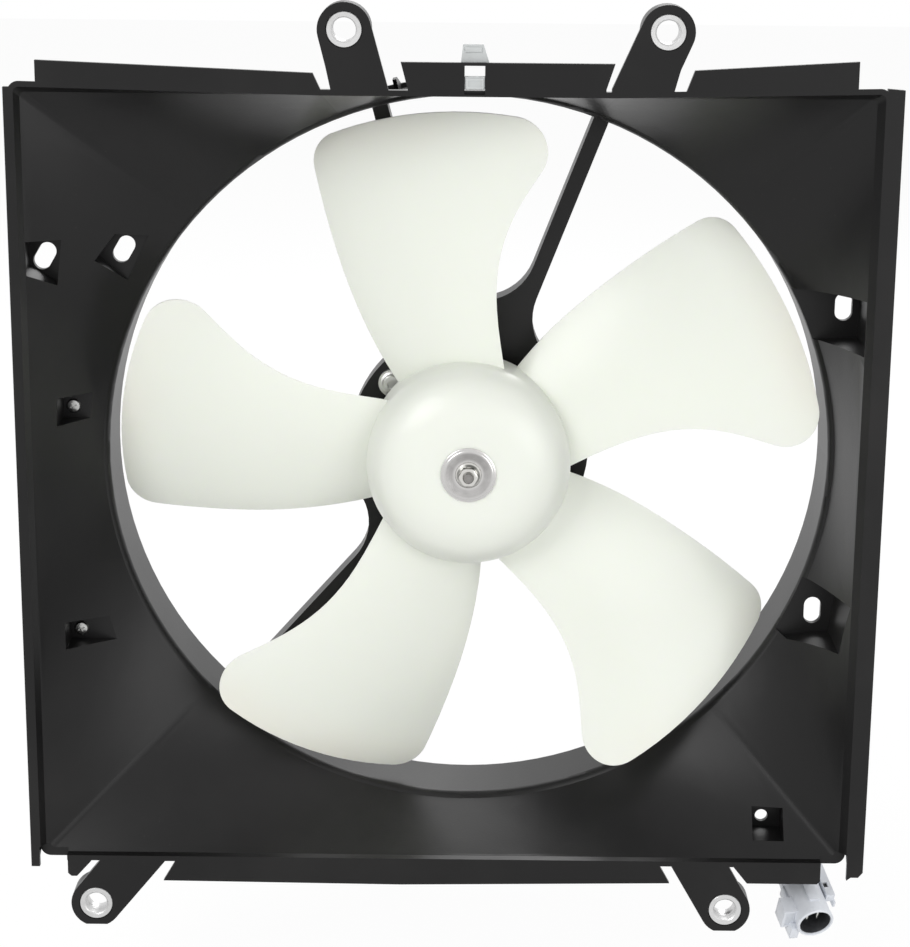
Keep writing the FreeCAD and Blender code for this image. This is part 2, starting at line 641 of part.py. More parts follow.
def fan():
    """Moulded hub with its blades, inner ribs and the boss that holds the insert."""
    outer = dome(HUB_RADIUS, HUB_FACE, HUB_SHOULDER, HUB_REAR)
    space = dome(HUB_RADIUS - HUB_WALL, HUB_FACE + HUB_WALL, HUB_SHOULDER + HUB_WALL / 2, HUB_REAR + 1)
    blades = [about_axis(blade(), BLADE_START + index * 360 / BLADE_COUNT) for index in range(BLADE_COUNT)]
    body = fused([outer] + blades).cut(space)
    boss = cylinder(HUB_BOSS_RADIUS, HUB_FACE + 0.5, HUB_BOSS_REAR)
    rib = block(HUB_BOSS_RADIUS - 1, HUB_RADIUS - 1.0, HUB_FACE + 1, HUB_BOSS_REAR - 2, -0.9, 0.9)
    rib = rib.common(dome(HUB_RADIUS - 1, HUB_FACE + 1, HUB_SHOULDER + 0.5, HUB_REAR))
    ribs = [about_axis(rib, index * 360 / (2 * BLADE_COUNT)) for index in range(2 * BLADE_COUNT)]
    body = fused([body, boss] + ribs)
    return body.cut(cylinder(INSERT_RADIUS + TOUCH, HUB_FACE - 1, HUB_BOSS_REAR + 1))


def d_bar(radius, front, rear):
    """A round bar with one flat."""
    return cylinder(radius, front, rear).cut(
        block(-radius, radius, front - 1, rear + 1, radius - SHAFT_FLAT, radius + 1))


def hub_insert():
    body = cylinder(INSERT_RADIUS, HUB_FACE, HUB_BOSS_REAR)
    return body.cut(d_bar(SHAFT_RADIUS + TOUCH, HUB_FACE - 1, HUB_BOSS_REAR + 1))


def washer():
    """Dished washer under the nut."""
    rear = HUB_FACE - TOUCH
    front = rear - WASHER_THICK
    hole = THREAD_RADIUS + 0.2
    mid = NUT_FLANGE_RADIUS + 1.5
    return turned([(hole, front + WASHER_DISH), (mid, front + WASHER_DISH), (WASHER_RADIUS - 2, front),
                   (WASHER_RADIUS, front), (WASHER_RADIUS, rear), (hole, rear)])


def nut():
    """Flange nut on the threaded end of the shaft."""
    seat = HUB_FACE - TOUCH - WASHER_THICK + WASHER_DISH - TOUCH
    flange = turned([(0, seat - NUT_FLANGE), (NUT_FLANGE_RADIUS - 0.8, seat - NUT_FLANGE),
                     (NUT_FLANGE_RADIUS, seat - 0.5), (NUT_FLANGE_RADIUS, seat), (0, seat)])
    across = NUT_ACROSS / math.sqrt(3)
    points = [polar(across, 60 * index + 30) for index in range(6)]
    body = plate(points, seat - NUT_HEIGHT, seat)
    crown = Part.makeCone(across - 0.6, across + 1.4, 2.0, V(0, seat - NUT_HEIGHT, 0), V(0, 1, 0))
    top = crown.fuse(cylinder(across + 1.4, seat - NUT_HEIGHT + 2.0, seat))
    return flange.fuse(body.common(top)).cut(cylinder(THREAD_RADIUS + TOUCH, 0, HUB_FACE)).removeSplitter()


def shaft():
    thread = turned([(0, THREAD_TIP), (THREAD_RADIUS - 0.5, THREAD_TIP), (THREAD_RADIUS, THREAD_TIP + 0.5),
                     (THREAD_RADIUS, SHAFT_SHOULDER), (0, SHAFT_SHOULDER)])
    flat = d_bar(SHAFT_RADIUS, HUB_FACE + 0.3, HUB_BOSS_REAR + 1)
    body = cylinder(SHAFT_RADIUS, HUB_BOSS_REAR + 1, SHAFT_REAR)
    return fused([thread, flat, body])


def bush(front):
    """Sintered bush."""
    body = tube(BUSH_RADIUS, SHAFT_RADIUS + RUNNING, front, front + BUSH_LENGTH)
    return body


def motor_cap():
    """Front end plate of the motor, with the boss for the front bush."""
    front = CAN_FRONT - CAP_THICK
    inner = CAN_RADIUS - CAN_WALL - TOUCH
    boss = front - CAP_BOSS_LENGTH
    return turned([
        (SHAFT_RADIUS + 1, boss), (CAP_BOSS_RADIUS, boss), (CAP_BOSS_RADIUS + 1.5, front), (CAN_RADIUS, front),
        (CAN_RADIUS, CAN_FRONT - TOUCH), (inner, CAN_FRONT - TOUCH), (inner, CAN_FRONT + 3), (inner - 2, CAN_FRONT + 3),
        (inner - 2, CAN_FRONT), (BUSH_RADIUS + TOUCH, CAN_FRONT), (BUSH_RADIUS + TOUCH, boss + 1.5),
        (SHAFT_RADIUS + 1, boss + 1.5)])


def motor_can():
    """Deep-drawn steel can with the boss for the rear bush."""
    inner = CAN_RADIUS - CAN_WALL
    floor = CAN_REAR - CAN_WALL
    rear = CAN_REAR + REAR_BOSS_LENGTH
    body = turned([
        (inner, CAN_FRONT), (CAN_RADIUS, CAN_FRONT), (CAN_RADIUS, CAN_REAR - CAN_CORNER),
        (CAN_RADIUS - 0.3 * CAN_CORNER, CAN_REAR - 0.3 * CAN_CORNER), (CAN_RADIUS - CAN_CORNER, CAN_REAR),
        (REAR_BOSS_RADIUS + 1.5, CAN_REAR), (REAR_BOSS_RADIUS, CAN_REAR + 1.5), (REAR_BOSS_RADIUS, rear - 1),
        (REAR_BOSS_RADIUS - 1, rear), (0, rear), (0, rear - CAN_WALL), (BUSH_RADIUS + TOUCH, rear - CAN_WALL),
        (BUSH_RADIUS + TOUCH, floor), (inner - CAN_CORNER + 1.5, floor), (inner, floor - CAN_CORNER + 1.5)])
    x, z = polar(1.0, GROMMET_ANGLE)
    hole = Part.makeCylinder(GROMMET_RADIUS + TOUCH, 20, V(26 * x, GROMMET_DEPTH, 26 * z), V(x, 0, z))
    return body.cut(hole)


def motor_bracket():
    """Steel plate round the can with three lugs for the screws."""
    rear = STRUT_FRONT - TOUCH
    front = rear - BRACKET_THICK
    pieces = [cylinder(CAN_RADIUS + 5.0, front, rear)]
    for angle in SCREW_ANGLES:
        x, z = polar(SCREW_CIRCLE, angle)
        pieces.append(cylinder(BRACKET_LUG, front, rear, x, z))
        arm = block(CAN_RADIUS, SCREW_CIRCLE, front, rear, -BRACKET_LUG, BRACKET_LUG)
        pieces.append(about_axis(arm, angle))
    body = fused(pieces).cut(cylinder(CAN_RADIUS + TOUCH, front - 1, rear + 1))
    for angle in SCREW_ANGLES:
        x, z = polar(SCREW_CIRCLE, angle)
        body = body.cut(cylinder(SCREW_RADIUS + 0.4, front - 1, rear + 1, x, z))
    return body


def motor_screws():
    seat = STRUT_FRONT - TOUCH - BRACKET_THICK - TOUCH
    screws = []
    for angle in SCREW_ANGLES:
        x, z = polar(SCREW_CIRCLE, angle)
        head = cylinder(SCREW_HEAD, seat - 3.2, seat, x, z)
        recess = cylinder(2.2, seat - 4, seat - 1.6, x, z)
        screws.append(fused([head, cylinder(SCREW_RADIUS, seat, RING_REAR - 2.5, x, z)]).cut(recess))
    return Part.makeCompound(screws)


def magnet(middle):
    """One arc magnet against the inside of the can."""
    body = tube(CAN_RADIUS - CAN_WALL - TOUCH, MAGNET_BORE, MAGNET_FRONT, MAGNET_REAR)
    half = MAGNET_ANGLE / 2
    reach = 2 * CAN_RADIUS
    wedge = plate([(0, 0), polar(reach, -half), polar(reach * 1.4, 0), polar(reach, half)], MAGNET_FRONT, MAGNET_REAR)
    return body.common(about_axis(wedge, middle))


def armature_core():
    """Slotted stack of laminations."""
    body = cylinder(CORE_RADIUS, CORE_FRONT, CORE_REAR)
    mouth = block(15, CORE_RADIUS + 1, CORE_FRONT - 1, CORE_REAR + 1, -1.0, 1.0)
    well = cylinder(3.6, CORE_FRONT - 1, CORE_REAR + 1, 19.5, 0)
    gap = mouth.fuse(well)
    for index in range(CORE_SLOTS):
        body = body.cut(about_axis(gap, (index + 0.5) * 360 / CORE_SLOTS))
    return body.cut(cylinder(SHAFT_RADIUS + TOUCH, CORE_FRONT - 1, CORE_REAR + 1))


def winding(front, rear, slim):
    """End turns of the armature as one rounded ring."""
    inner, outer = SHAFT_RADIUS + 3.5, CORE_RADIUS - 3.0
    if slim == "front":
        points = [(inner, rear), (inner, front + 1), (inner + 3, front), (outer - 4, front), (outer, front + 3),
                  (outer, rear)]
    else:
        points = [(inner, front), (outer, front), (outer, rear - 3), (outer - 4, rear), (inner + 3, rear),
                  (inner, rear - 1)]
    return turned(points)


def commutator():
    body = tube(COMMUTATOR_RADIUS, SHAFT_RADIUS + TOUCH, COMMUTATOR_FRONT, COMMUTATOR_FRONT + COMMUTATOR_LENGTH)
    groove = block(COMMUTATOR_RADIUS - 1.2, COMMUTATOR_RADIUS + 1, COMMUTATOR_FRONT - 1,
                   COMMUTATOR_FRONT + COMMUTATOR_LENGTH + 1, -0.3, 0.3)
    for index in range(CORE_SLOTS):
        body = body.cut(about_axis(groove, index * 360 / CORE_SLOTS))
    return body


def brush_depth():
    """Front face of the brush plate: just behind the rear end turns."""
    return COMMUTATOR_FRONT + COMMUTATOR_LENGTH - BRUSH_DEPTH - BRUSH_PLATE_THICK - 1.0


def brush_plate():
    """Insulating ring that carries the brush boxes."""
    front = brush_depth() - 0.3
    rear = front + BRUSH_PLATE_THICK
    body = tube(CAN_RADIUS - CAN_WALL - TOUCH, CORE_RADIUS - 1.5, front, rear)
    for angle in (20.0, 200.0):
        arm = block(COMMUTATOR_RADIUS + 3.5, CORE_RADIUS, front, rear, -BRUSH_WIDTH / 2 - 1.5, BRUSH_WIDTH / 2 + 1.5)
        body = body.fuse(about_axis(arm, angle))
    return body.removeSplitter()


def brush(angle):
    front = brush_depth() - 0.3 + BRUSH_PLATE_THICK + TOUCH
    start = COMMUTATOR_RADIUS + 0.08
    body = block(start, start + BRUSH_LENGTH, front, front + BRUSH_DEPTH, -BRUSH_WIDTH / 2, BRUSH_WIDTH / 2)
    body = body.cut(cylinder(COMMUTATOR_RADIUS + 0.08, 0, CAN_REAR))
    return about_axis(body, angle)


def brush_springs():
    """Leaf springs that press the brushes on the commutator."""
    front = brush_depth() - 0.3 + BRUSH_PLATE_THICK + TOUCH
    start = COMMUTATOR_RADIUS + 0.08 + BRUSH_LENGTH + TOUCH
    springs = []
    for angle in (20.0, 200.0):
        leaf = block(start, start + 0.8, front, front + BRUSH_DEPTH - 0.6, -BRUSH_WIDTH / 2, BRUSH_WIDTH / 2 + 5)
        foot = block(start, CORE_RADIUS + 4, front, front + BRUSH_DEPTH - 0.6, BRUSH_WIDTH / 2 + 4.2,
                     BRUSH_WIDTH / 2 + 5)
        springs.append(about_axis(fused([leaf, foot]), angle))
    return Part.makeCompound(springs)


def grommet():
    """Rubber outlet for the motor's lead, in the side of the can."""
    x, z = polar(1.0, GROMMET_ANGLE)
    inner = CAN_RADIUS - CAN_WALL
    start = V(inner * x, GROMMET_DEPTH, inner * z)
    body = Part.makeCylinder(GROMMET_RADIUS, CAN_WALL + 5.0, start, V(x, 0, z))
    collar_start = (CAN_RADIUS + 0.4) * 1.0
    collar = Part.makeCylinder(GROMMET_RADIUS + 1.5, 1.8, V(collar_start * x, GROMMET_DEPTH, collar_start * z),
                               V(x, 0, z))
    return body.fuse(collar).removeSplitter()


def clip():
    """Grey clip behind the upper flange, with a block that fills the lower half of the flange's window."""
    half = CLIP_WIDTH / 2
    rear = FLANGE + TOUCH + CLIP_THICK
    base = FRAME_TOP + WALL + 0.6
    back = plate([(CLIP_CENTRE - half, base), (CLIP_CENTRE + half, base), (CLIP_CENTRE + half, 187.4),
                  (CLIP_CENTRE + 3.6, CLIP_TOP), (CLIP_CENTRE - 5.2, CLIP_TOP), (CLIP_CENTRE - half, 187.4)],
                 FLANGE + TOUCH, rear)
    gap = block(CLIP_CENTRE - CLIP_WINDOW / 2, CLIP_CENTRE + CLIP_WINDOW / 2, 0, rear + 1,
                CLIP_BLOCK_TOP + 0.2, CLIP_WINDOW_TOP + 0.8)
    nose = block(CLIP_CENTRE - CLIP_WINDOW / 2 + 0.15, CLIP_CENTRE + CLIP_WINDOW / 2 - 0.15, 0.6, FLANGE + 0.5,
                 base, CLIP_BLOCK_TOP)
    return fused([back.cut(gap), nose])


def plug_frame(shape):
    """Turns a shape drawn along +Y from the origin into the connector's place."""
    placed = shape.copy()
    placed.rotate(V(0, 0, 0), V(1, 0, 0), PLUG_DROOP)
    placed.rotate(V(0, 0, 0), V(0, 0, 1), PLUG_SWING)
    placed.translate(V(PLUG_X, PLUG_FRONT, PLUG_Z))
    return placed


def connector_housing():
    """Round two-pin socket with its lock block and the channel that slides on the shroud's tongue."""
    barrel = cylinder(PLUG_RADIUS, 0, PLUG_LENGTH)
    rear_body = block(-8, 8, 15, PLUG_LENGTH, -7, 9)
    lock = block(-PLUG_RADIUS - 7.0, -2, 4, 24, -7, 7)
    foot = block(-PLUG_RADIUS - 4.5, -PLUG_RADIUS + 3.0, 2, 9, -PLUG_RADIUS - 2.5, -4)
    rail = block(5.0, PLUG_RADIUS + 1.0, 2, 26, -3, 8.5)
    body = plug_frame(fused([barrel, rear_body, lock, foot, rail]))
    wall = 2.0
    left = TONGUE_X - TONGUE_WIDTH / 2
    right = TONGUE_X + TONGUE_WIDTH / 2
    rear = TONGUE_FRONT + TONGUE_THICK
    channel = block(left - wall, right + wall, TONGUE_FRONT - wall - 0.1, rear + wall + 0.1,
                    TONGUE_BOTTOM - 6, FRAME_BOTTOM - WALL - 1.0)
    gap = block(left - 0.1, right + 0.1, TONGUE_FRONT - 0.1, rear + 0.1, TONGUE_BOTTOM - 0.2, FRAME_BOTTOM)
    space = plug_frame(cylinder(PLUG_RADIUS - PLUG_WALL, -1, SOCKET_DEPTH))
    return fused([body, channel]).cut(gap).cut(space)


def connector_terminals():
    """Two slanted blades that stand in the socket."""
    blades = []
    for side in (-1, 1):
        pin = block(side * 2.7 - 0.4, side * 2.7 + 0.4, SOCKET_DEPTH - 11, SOCKET_DEPTH - TOUCH, -2.4, 2.4)
        blades.append(plug_frame(pin))
    return Part.makeCompound(blades)


def connector_seal():
    """Ring of soft rubber round the foot of the socket."""
    return plug_frame(tube(PLUG_RADIUS - PLUG_WALL - TOUCH, PLUG_RADIUS - PLUG_WALL - 1.2, SOCKET_DEPTH - 4,
                           SOCKET_DEPTH - TOUCH))


def build():
    cap_boss = CAN_FRONT - CAP_THICK - CAP_BOSS_LENGTH
    names = ("upper_left_sleeve", "upper_right_sleeve", "lower_left_sleeve", "lower_right_sleeve")
    nodes = {name: sleeve(x, z) for name, (x, z) in zip(names, ear_centres())}
    nodes.update({
        "shroud": shroud(),
        "top_clip": clip(),
        "motor_can": motor_can(),
        "motor_end_plate": motor_cap(),
        "motor_bracket": motor_bracket(),
        "motor_screws": motor_screws(),
        "front_bush": bush(cap_boss + 1.5 + TOUCH),
        "rear_bush": bush(CAN_REAR + REAR_BOSS_LENGTH - CAN_WALL - TOUCH - BUSH_LENGTH),
        "upper_magnet": magnet(90.0),
        "lower_magnet": magnet(270.0),
        "brush_plate": brush_plate(),
        "left_brush": brush(200.0),
        "right_brush": brush(20.0),
        "brush_springs": brush_springs(),
        "lead_grommet": grommet(),
        "connector_housing": connector_housing(),
        "connector_terminals": connector_terminals(),
        "connector_seal": connector_seal(),
        "fan": fan(),
        "hub_insert": hub_insert(),
        "fan_washer": washer(),
        "fan_nut": nut(),
        "motor_shaft": shaft(),
        "armature_core": armature_core(),
        "front_windings": winding(CORE_FRONT - WINDING_DEPTH, CORE_FRONT - TOUCH, "front"),
        "rear_windings": winding(CORE_REAR + TOUCH, CORE_REAR + WINDING_DEPTH, "rear"),
        "commutator": commutator(),
    })
    os.makedirs("parts", exist_ok=True)
    for name, shape in nodes.items():
        shape.exportStep(os.path.join("parts", name + ".step"))
        print(name, "valid" if shape.isValid() else "NOT VALID", len(shape.Solids), round(shape.Volume))


build()
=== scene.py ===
"""Radiator cooling fan: looks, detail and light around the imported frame.

The frame gives the moulded shroud, the motor and the fan as rigid nodes. This script dresses every
node with a node-based material, adds the detail of each sub-assembly as pieces of their own, and
sets a camera, lamps and a pale floor. Pieces are measured in millimetres; the camera, the lamps, the
floor and the scales of the materials are in metres.
"""

from __future__ import annotations

import json
import logging
import math
from dataclasses import dataclass
from enum import Enum
from typing import Any, Iterable, NamedTuple, Sequence

import bpy
from mathutils import Matrix, Vector

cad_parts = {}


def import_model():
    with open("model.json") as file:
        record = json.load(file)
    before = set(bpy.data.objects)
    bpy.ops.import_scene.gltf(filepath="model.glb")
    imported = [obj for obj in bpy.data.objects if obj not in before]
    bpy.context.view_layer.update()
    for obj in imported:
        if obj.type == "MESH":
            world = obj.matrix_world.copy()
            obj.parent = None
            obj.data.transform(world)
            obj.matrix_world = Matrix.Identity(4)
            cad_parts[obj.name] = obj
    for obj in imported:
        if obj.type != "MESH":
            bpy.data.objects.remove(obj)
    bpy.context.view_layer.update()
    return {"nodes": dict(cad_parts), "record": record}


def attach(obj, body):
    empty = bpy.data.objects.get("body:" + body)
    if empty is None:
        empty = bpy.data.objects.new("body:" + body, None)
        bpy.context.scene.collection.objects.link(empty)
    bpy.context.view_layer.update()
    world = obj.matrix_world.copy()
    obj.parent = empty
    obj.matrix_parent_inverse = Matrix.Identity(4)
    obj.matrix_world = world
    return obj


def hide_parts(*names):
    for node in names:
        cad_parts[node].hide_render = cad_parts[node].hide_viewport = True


LOG = logging.getLogger("cooling_fan")
MM = 0.001
Number = float | int
Point = tuple[float, float]
Place = tuple[float, float, float]
Colour = tuple[float, float, float]
Profile = Sequence[Point]
Piece = bpy.types.Object

WHITE = (1.0, 1.0, 1.0, 1.0)
FRONT: Place = (0.0, -1.0, 0.0)
REAR: Place = (0.0, 1.0, 0.0)
UP: Place = (0.0, 0.0, 1.0)
DOWN: Place = (0.0, 0.0, -1.0)

WELD = 0.002            # points closer than this are one point
SMOOTH_UP_TO = 35.0     # the largest angle between faces that is shaded smooth
BEVEL_SEGMENTS = 2
SAME_WAY = 0.99         # least cosine between a face's normal and the way it is said to look
SAME_FACE = 0.05        # faces that lie within this depth belong to one side


# ---------------------------------------------------------------- shader expressions


class Sock:
    """A node's output socket that can be used in arithmetic.

    Every operator adds a Math node to the same graph, so a mask is written as a plain expression.
    """

    def __init__(self, graph: Graph, output: bpy.types.NodeSocket) -> None:
        """Keeps the graph that new Math nodes go into, and the output that this object stands for."""
        self.graph = graph
        self.output = output

    def _math(self, operation: str, *values: Sock | Number, clamp: bool = False) -> Sock:
        """Adds a Math node and returns its output."""
        return self.graph.node("ShaderNodeMath", {"operation": operation, "use_clamp": clamp},
                               dict(enumerate(values)))

    def __add__(self, other: Sock | Number) -> Sock:
        """Sum."""
        return self._math("ADD", self, other)

    def __rsub__(self, other: Sock | Number) -> Sock:
        """Difference from a number."""
        return self._math("SUBTRACT", other, self)

    def __mul__(self, other: Sock | Number) -> Sock:
        """Product."""
        return self._math("MULTIPLY", self, other)

    def power(self, exponent: Number) -> Sock:
        """This value raised to an exponent."""
        return self._math("POWER", self, exponent)

    def larger(self, other: Sock) -> Sock:
        """The larger of two values."""
        return self._math("MAXIMUM", self, other)

    def clamped(self) -> Sock:
        """This value held between 0 and 1."""
        return self._math("ADD", self, 0.0, clamp=True)

    def ramp(self, low: Number, high: Number) -> Sock:
        """A smooth step from 0 at low to 1 at high."""
        return self.graph.node(
            "ShaderNodeMapRange", {"interpolation_type": "SMOOTHSTEP"},
            {"Value": self, "From Min": low, "From Max": high, "To Min": 0.0, "To Max": 1.0}, "Result")


class Graph:
    """Builder for the nodes of one node tree."""

    def __init__(self, tree: bpy.types.NodeTree) -> None:
        """Empties a node tree and keeps it."""
        self.nodes, self.links = tree.nodes, tree.links
        self.nodes.clear()

    def node(self, kind: str, settings: dict[str, Any] | None = None,
             inputs: dict[Any, Any] | None = None, output: Any = 0) -> Sock:
        """Adds one node.

        Args:
            kind: The node's type.
            settings: Attributes that are set before the inputs.
            inputs: Input name or index to a number, colour, vector or socket.
            output: Name or index of the output to return.

        Returns:
            The wrapped output.
        """
        made = self.nodes.new(kind)
        for key, value in (settings or {}).items():
            setattr(made, key, value)
        for key, value in (inputs or {}).items():
            self.feed(made.inputs[key], value)
        return Sock(self, made.outputs[output])

    def feed(self, socket: bpy.types.NodeSocket, value: Any) -> None:
        """Links or sets one input.

        Args:
            socket: The input.
            value: A wrapped output to link, or a plain value to set.
        """
        if isinstance(value, Sock):
            self.links.new(value.output, socket)
        else:
            socket.default_value = value

    def seen_by_eye(self) -> Sock:
        """Tells the rays by which the eye sees a surface from those that light other surfaces.

        Returns:
            1 for camera, glossy and transmission rays.
        """
        path = self.nodes.new("ShaderNodeLightPath")
        camera, glossy, through = (Sock(self, path.outputs[f"Is {kind} Ray"])
                                   for kind in ("Camera", "Glossy", "Transmission"))
        return camera.larger(glossy).larger(through)

    def close(self, out: str, factor: Sock, first: Sock, second: Sock) -> None:
        """Mixes two shaders into the tree's output.

        Args:
            out: Type of the output node.
            factor: Share of the second shader.
            first: The shader at factor 0.
            second: The shader at factor 1.
        """
        mix = self.node("ShaderNodeMixShader", {}, {0: factor, 1: first, 2: second})
        self.feed(self.nodes.new(out).inputs["Surface"], mix)


class Tree(Graph):
    """Builder for one material of the object."""

    def __init__(self, name: str) -> None:
        """Makes an empty material.

        Args:
            name: The material's name.
        """
        self.material = bpy.data.materials.new(name)
        self.material.use_nodes = True
        super().__init__(self.material.node_tree)
        self.out = self.nodes.new("ShaderNodeOutputMaterial")
        self.coords = self.nodes.new("ShaderNodeTexCoord")

    def place(self) -> Sock:
        """Object coordinates, in metres."""
        return Sock(self, self.coords.outputs["Object"])

    def joined(self, x: Any, y: Any, z: Any) -> Sock:
        """A vector from three numbers."""
        return self.node("ShaderNodeCombineXYZ", {}, {0: x, 1: y, 2: z})

    def stretched(self, scale: Place) -> Sock:
        """Object coordinates stretched along the axes."""
        return self.node("ShaderNodeMapping", {}, {"Vector": self.place(), "Scale": scale})

    def axis_distance(self) -> Sock:
        """Measures how far a point is from the fan axis, which is the Y axis.

        Returns:
            The distance in metres.
        """
        split = self.nodes.new("ShaderNodeSeparateXYZ")
        self.feed(split.inputs[0], self.place())
        across, up = Sock(self, split.outputs["X"]), Sock(self, split.outputs["Z"])
        return (across * across + up * up).power(0.5)

    def noise(self, scale: float, detail: float = 3.0, rough: float = 0.5, vector: Sock | None = None) -> Sock:
        """Noise from 0 to 1, on object coordinates unless a vector is given."""
        return self.node("ShaderNodeTexNoise", {}, {
            "Vector": vector or self.place(), "Scale": scale, "Detail": detail, "Roughness": rough}, "Fac")

    def specks(self, scale: float, size: float) -> Sock:
        """Small round specks, 1 in their middle and 0 outside."""
        distance = self.node("ShaderNodeTexVoronoi", {"feature": "F1"},
                             {"Vector": self.place(), "Scale": scale}, "Distance")
        return 1.0 - distance.ramp(0.0, size)

    def blend(self, factor: Sock | float, first: Any, second: Any) -> Sock:
        """Mixes two colours.

        Args:
            factor: Share of the second colour.
            first: The colour at factor 0.
            second: The colour at factor 1.

        Returns:
            The mixed colour.
        """
        made = self.nodes.new("ShaderNodeMix")
        made.data_type = "RGBA"
        sockets = [socket for socket in made.inputs if socket.enabled]
        for socket, value in zip(sockets, (factor, first, second)):
            self.feed(socket, (*value, 1.0) if isinstance(value, tuple) else value)
        return Sock(self, [socket for socket in made.outputs if socket.enabled][0])

    def bump(self, height: Sock, strength: float, distance: float = 0.0002) -> Sock:
        """A normal from a height map."""
        return self.node("ShaderNodeBump", {}, {"Height": height, "Strength": strength, "Distance": distance},
                         "Normal")

    def surface(self, colour: Sock, rough: Sock, normal: Sock,
                fixed: dict[str, Any] | None = None) -> bpy.types.Material:
        """Closes the tree with a Principled shader.

        Args:
            colour: The base colour.
            rough: The roughness, held between 0 and 1 here.
            normal: The surface's normal.
            fixed: Inputs that are the same all over.

        Returns:
            The finished material.
        """
        shader = self.nodes.new("ShaderNodeBsdfPrincipled")
        varying = {"Base Color": colour, "Roughness": rough.clamped(), "Normal": normal}
        for key, value in {**(fixed or {}), **varying}.items():
            self.feed(shader.inputs[key], value)
        self.links.new(shader.outputs["BSDF"], self.out.inputs["Surface"])
        return self.material


# ---------------------------------------------------------------- finishes


@dataclass(frozen=True)
class MouldedBlack:
    """Satin black moulded plastic with faint flow marks, dust and rubbed patches."""

    name: str
    base: Colour = (0.0062, 0.0060, 0.0062)
    dust: Colour = (0.030, 0.029, 0.028)
    roughness: float = 0.24
    dust_share: float = 0.28
    specular: float = 0.27
    flow_scale: Place = (1.0, 0.35, 0.22)

    def material(self) -> bpy.types.Material:
        """Builds the material.

        Returns:
            The material.
        """
        tree = Tree(self.name)
        cloud = tree.noise(scale=9.0, detail=4.0, rough=0.6)
        flow = tree.noise(scale=34.0, detail=3.0, rough=0.55, vector=tree.stretched(self.flow_scale))
        fine = tree.noise(scale=900.0, detail=2.0)
        film = cloud.ramp(0.42, 0.78) * self.dust_share
        patches = tree.noise(scale=23.0, detail=2.0).ramp(0.45, 0.7)
        specks = tree.specks(scale=150.0, size=0.10) * patches * 0.5
        colour = tree.blend((film + specks).clamped(), self.base, self.dust)
        rough = flow * 0.10 + cloud * 0.10 + fine * 0.04 + self.roughness
        normal = tree.bump(fine * 0.6 + flow * 0.8, strength=0.10, distance=0.0004)
        return tree.surface(colour, rough, normal, {"Specular IOR Level": self.specular})


@dataclass(frozen=True)
class MilkyNylon:
    """Natural, slightly greenish white nylon that glows a little where light enters it."""

    name: str
    base: Colour = (0.845, 0.872, 0.802)
    edge: Colour = (0.86, 0.82, 0.72)
    roughness: float = 0.24
    flow_scale: Place = (1.0, 0.5, 1.0)
    rim_start: float = 0.135
    rim_end: float = 0.166
    glow: float = 0.25
    glow_reach: Place = (0.9, 1.0, 0.75)
    glow_scale: float = 0.002

    def material(self) -> bpy.types.Material:
        """Builds the material.

        Returns:
            The material.
        """
        tree = Tree(self.name)
        cloud = tree.noise(scale=14.0, detail=3.0)
        flow = tree.noise(scale=40.0, detail=2.0, vector=tree.stretched(self.flow_scale))
        fine = tree.noise(scale=700.0, detail=2.0)
        rim = tree.axis_distance().ramp(self.rim_start, self.rim_end) * cloud.ramp(0.30, 0.75) * 0.45
        colour = tree.blend((rim + cloud * 0.08).clamped(), self.base, self.edge)
        rough = flow * 0.10 + fine * 0.04 + self.roughness
        normal = tree.bump(flow * 0.7 + fine * 0.3, strength=0.05, distance=0.0004)
        return tree.surface(colour, rough, normal, {
            "Subsurface Weight": self.glow, "Subsurface Radius": self.glow_reach,
            "Subsurface Scale": self.glow_scale})


@dataclass(frozen=True)
class ZincSteel:
    """Zinc-plated steel, turned or pressed, with fine scratches and a little dulling."""

    name: str
    base: Colour = (0.62, 0.62, 0.60)
    dull: Colour = (0.36, 0.35, 0.32)
    roughness: float = 0.18
    grain: Place = (1.0, 1.0, 1.0)

    def material(self) -> bpy.types.Material:
        """Builds the material.

        Returns:
            The material.
        """
        tree = Tree(self.name)
        cloud = tree.noise(scale=60.0, detail=4.0, rough=0.6)
        scratch = tree.noise(scale=520.0, detail=3.0, rough=0.6, vector=tree.stretched(self.grain))
        colour = tree.blend(cloud.ramp(0.45, 0.8) * 0.6, self.base, self.dull)
        rough = cloud * 0.16 + scratch * 0.14 + self.roughness
        return tree.surface(colour, rough, tree.bump(scratch, strength=0.12), {"Metallic": 1.0})


@dataclass(frozen=True)
class TurnedSteel:
    """Bright steel with fine rings round the fan axis, and a ring of painted shade given by four radii (the
    washer's dim reflection, the nut's shade where hexagon meets flange).
    """

    name: str
    base: Colour = (0.66, 0.65, 0.64)
    # painted shade: its colour, the four radii of its ring and its strength
    painted_shade_colour: Colour = (0.20, 0.195, 0.19)
    roughness: float = 0.10
    painted_shade_band: tuple[float, float, float, float] = (0.0062, 0.0078, 0.0098, 0.0112)
    strength: float = 0.55

    def material(self) -> bpy.types.Material:
        """Builds the material.

        Returns:
            The material.
        """
        tree = Tree(self.name)
        radius = tree.axis_distance()
        cloud = tree.noise(scale=90.0, detail=3.0, rough=0.6)
        rings = tree.noise(scale=2600.0, detail=2.0, rough=0.7, vector=tree.joined(radius, 0.0, 0.0))
        start, full, fade, end = self.painted_shade_band
        # painted shade: a ring of radii mixed towards the shade colour, dappled by the cloud
        painted_shade_band = radius.ramp(start, full) * (1.0 - radius.ramp(fade, end))
        patches = cloud.ramp(0.30, 0.70) * 0.6 + 0.4
        colour = tree.blend((painted_shade_band * patches * self.strength + rings * 0.25).clamped(), self.base, self.painted_shade_colour)
        rough = rings * 0.18 + cloud * 0.08 + self.roughness
        return tree.surface(colour, rough, tree.bump(rings, strength=0.15), {"Metallic": 1.0})


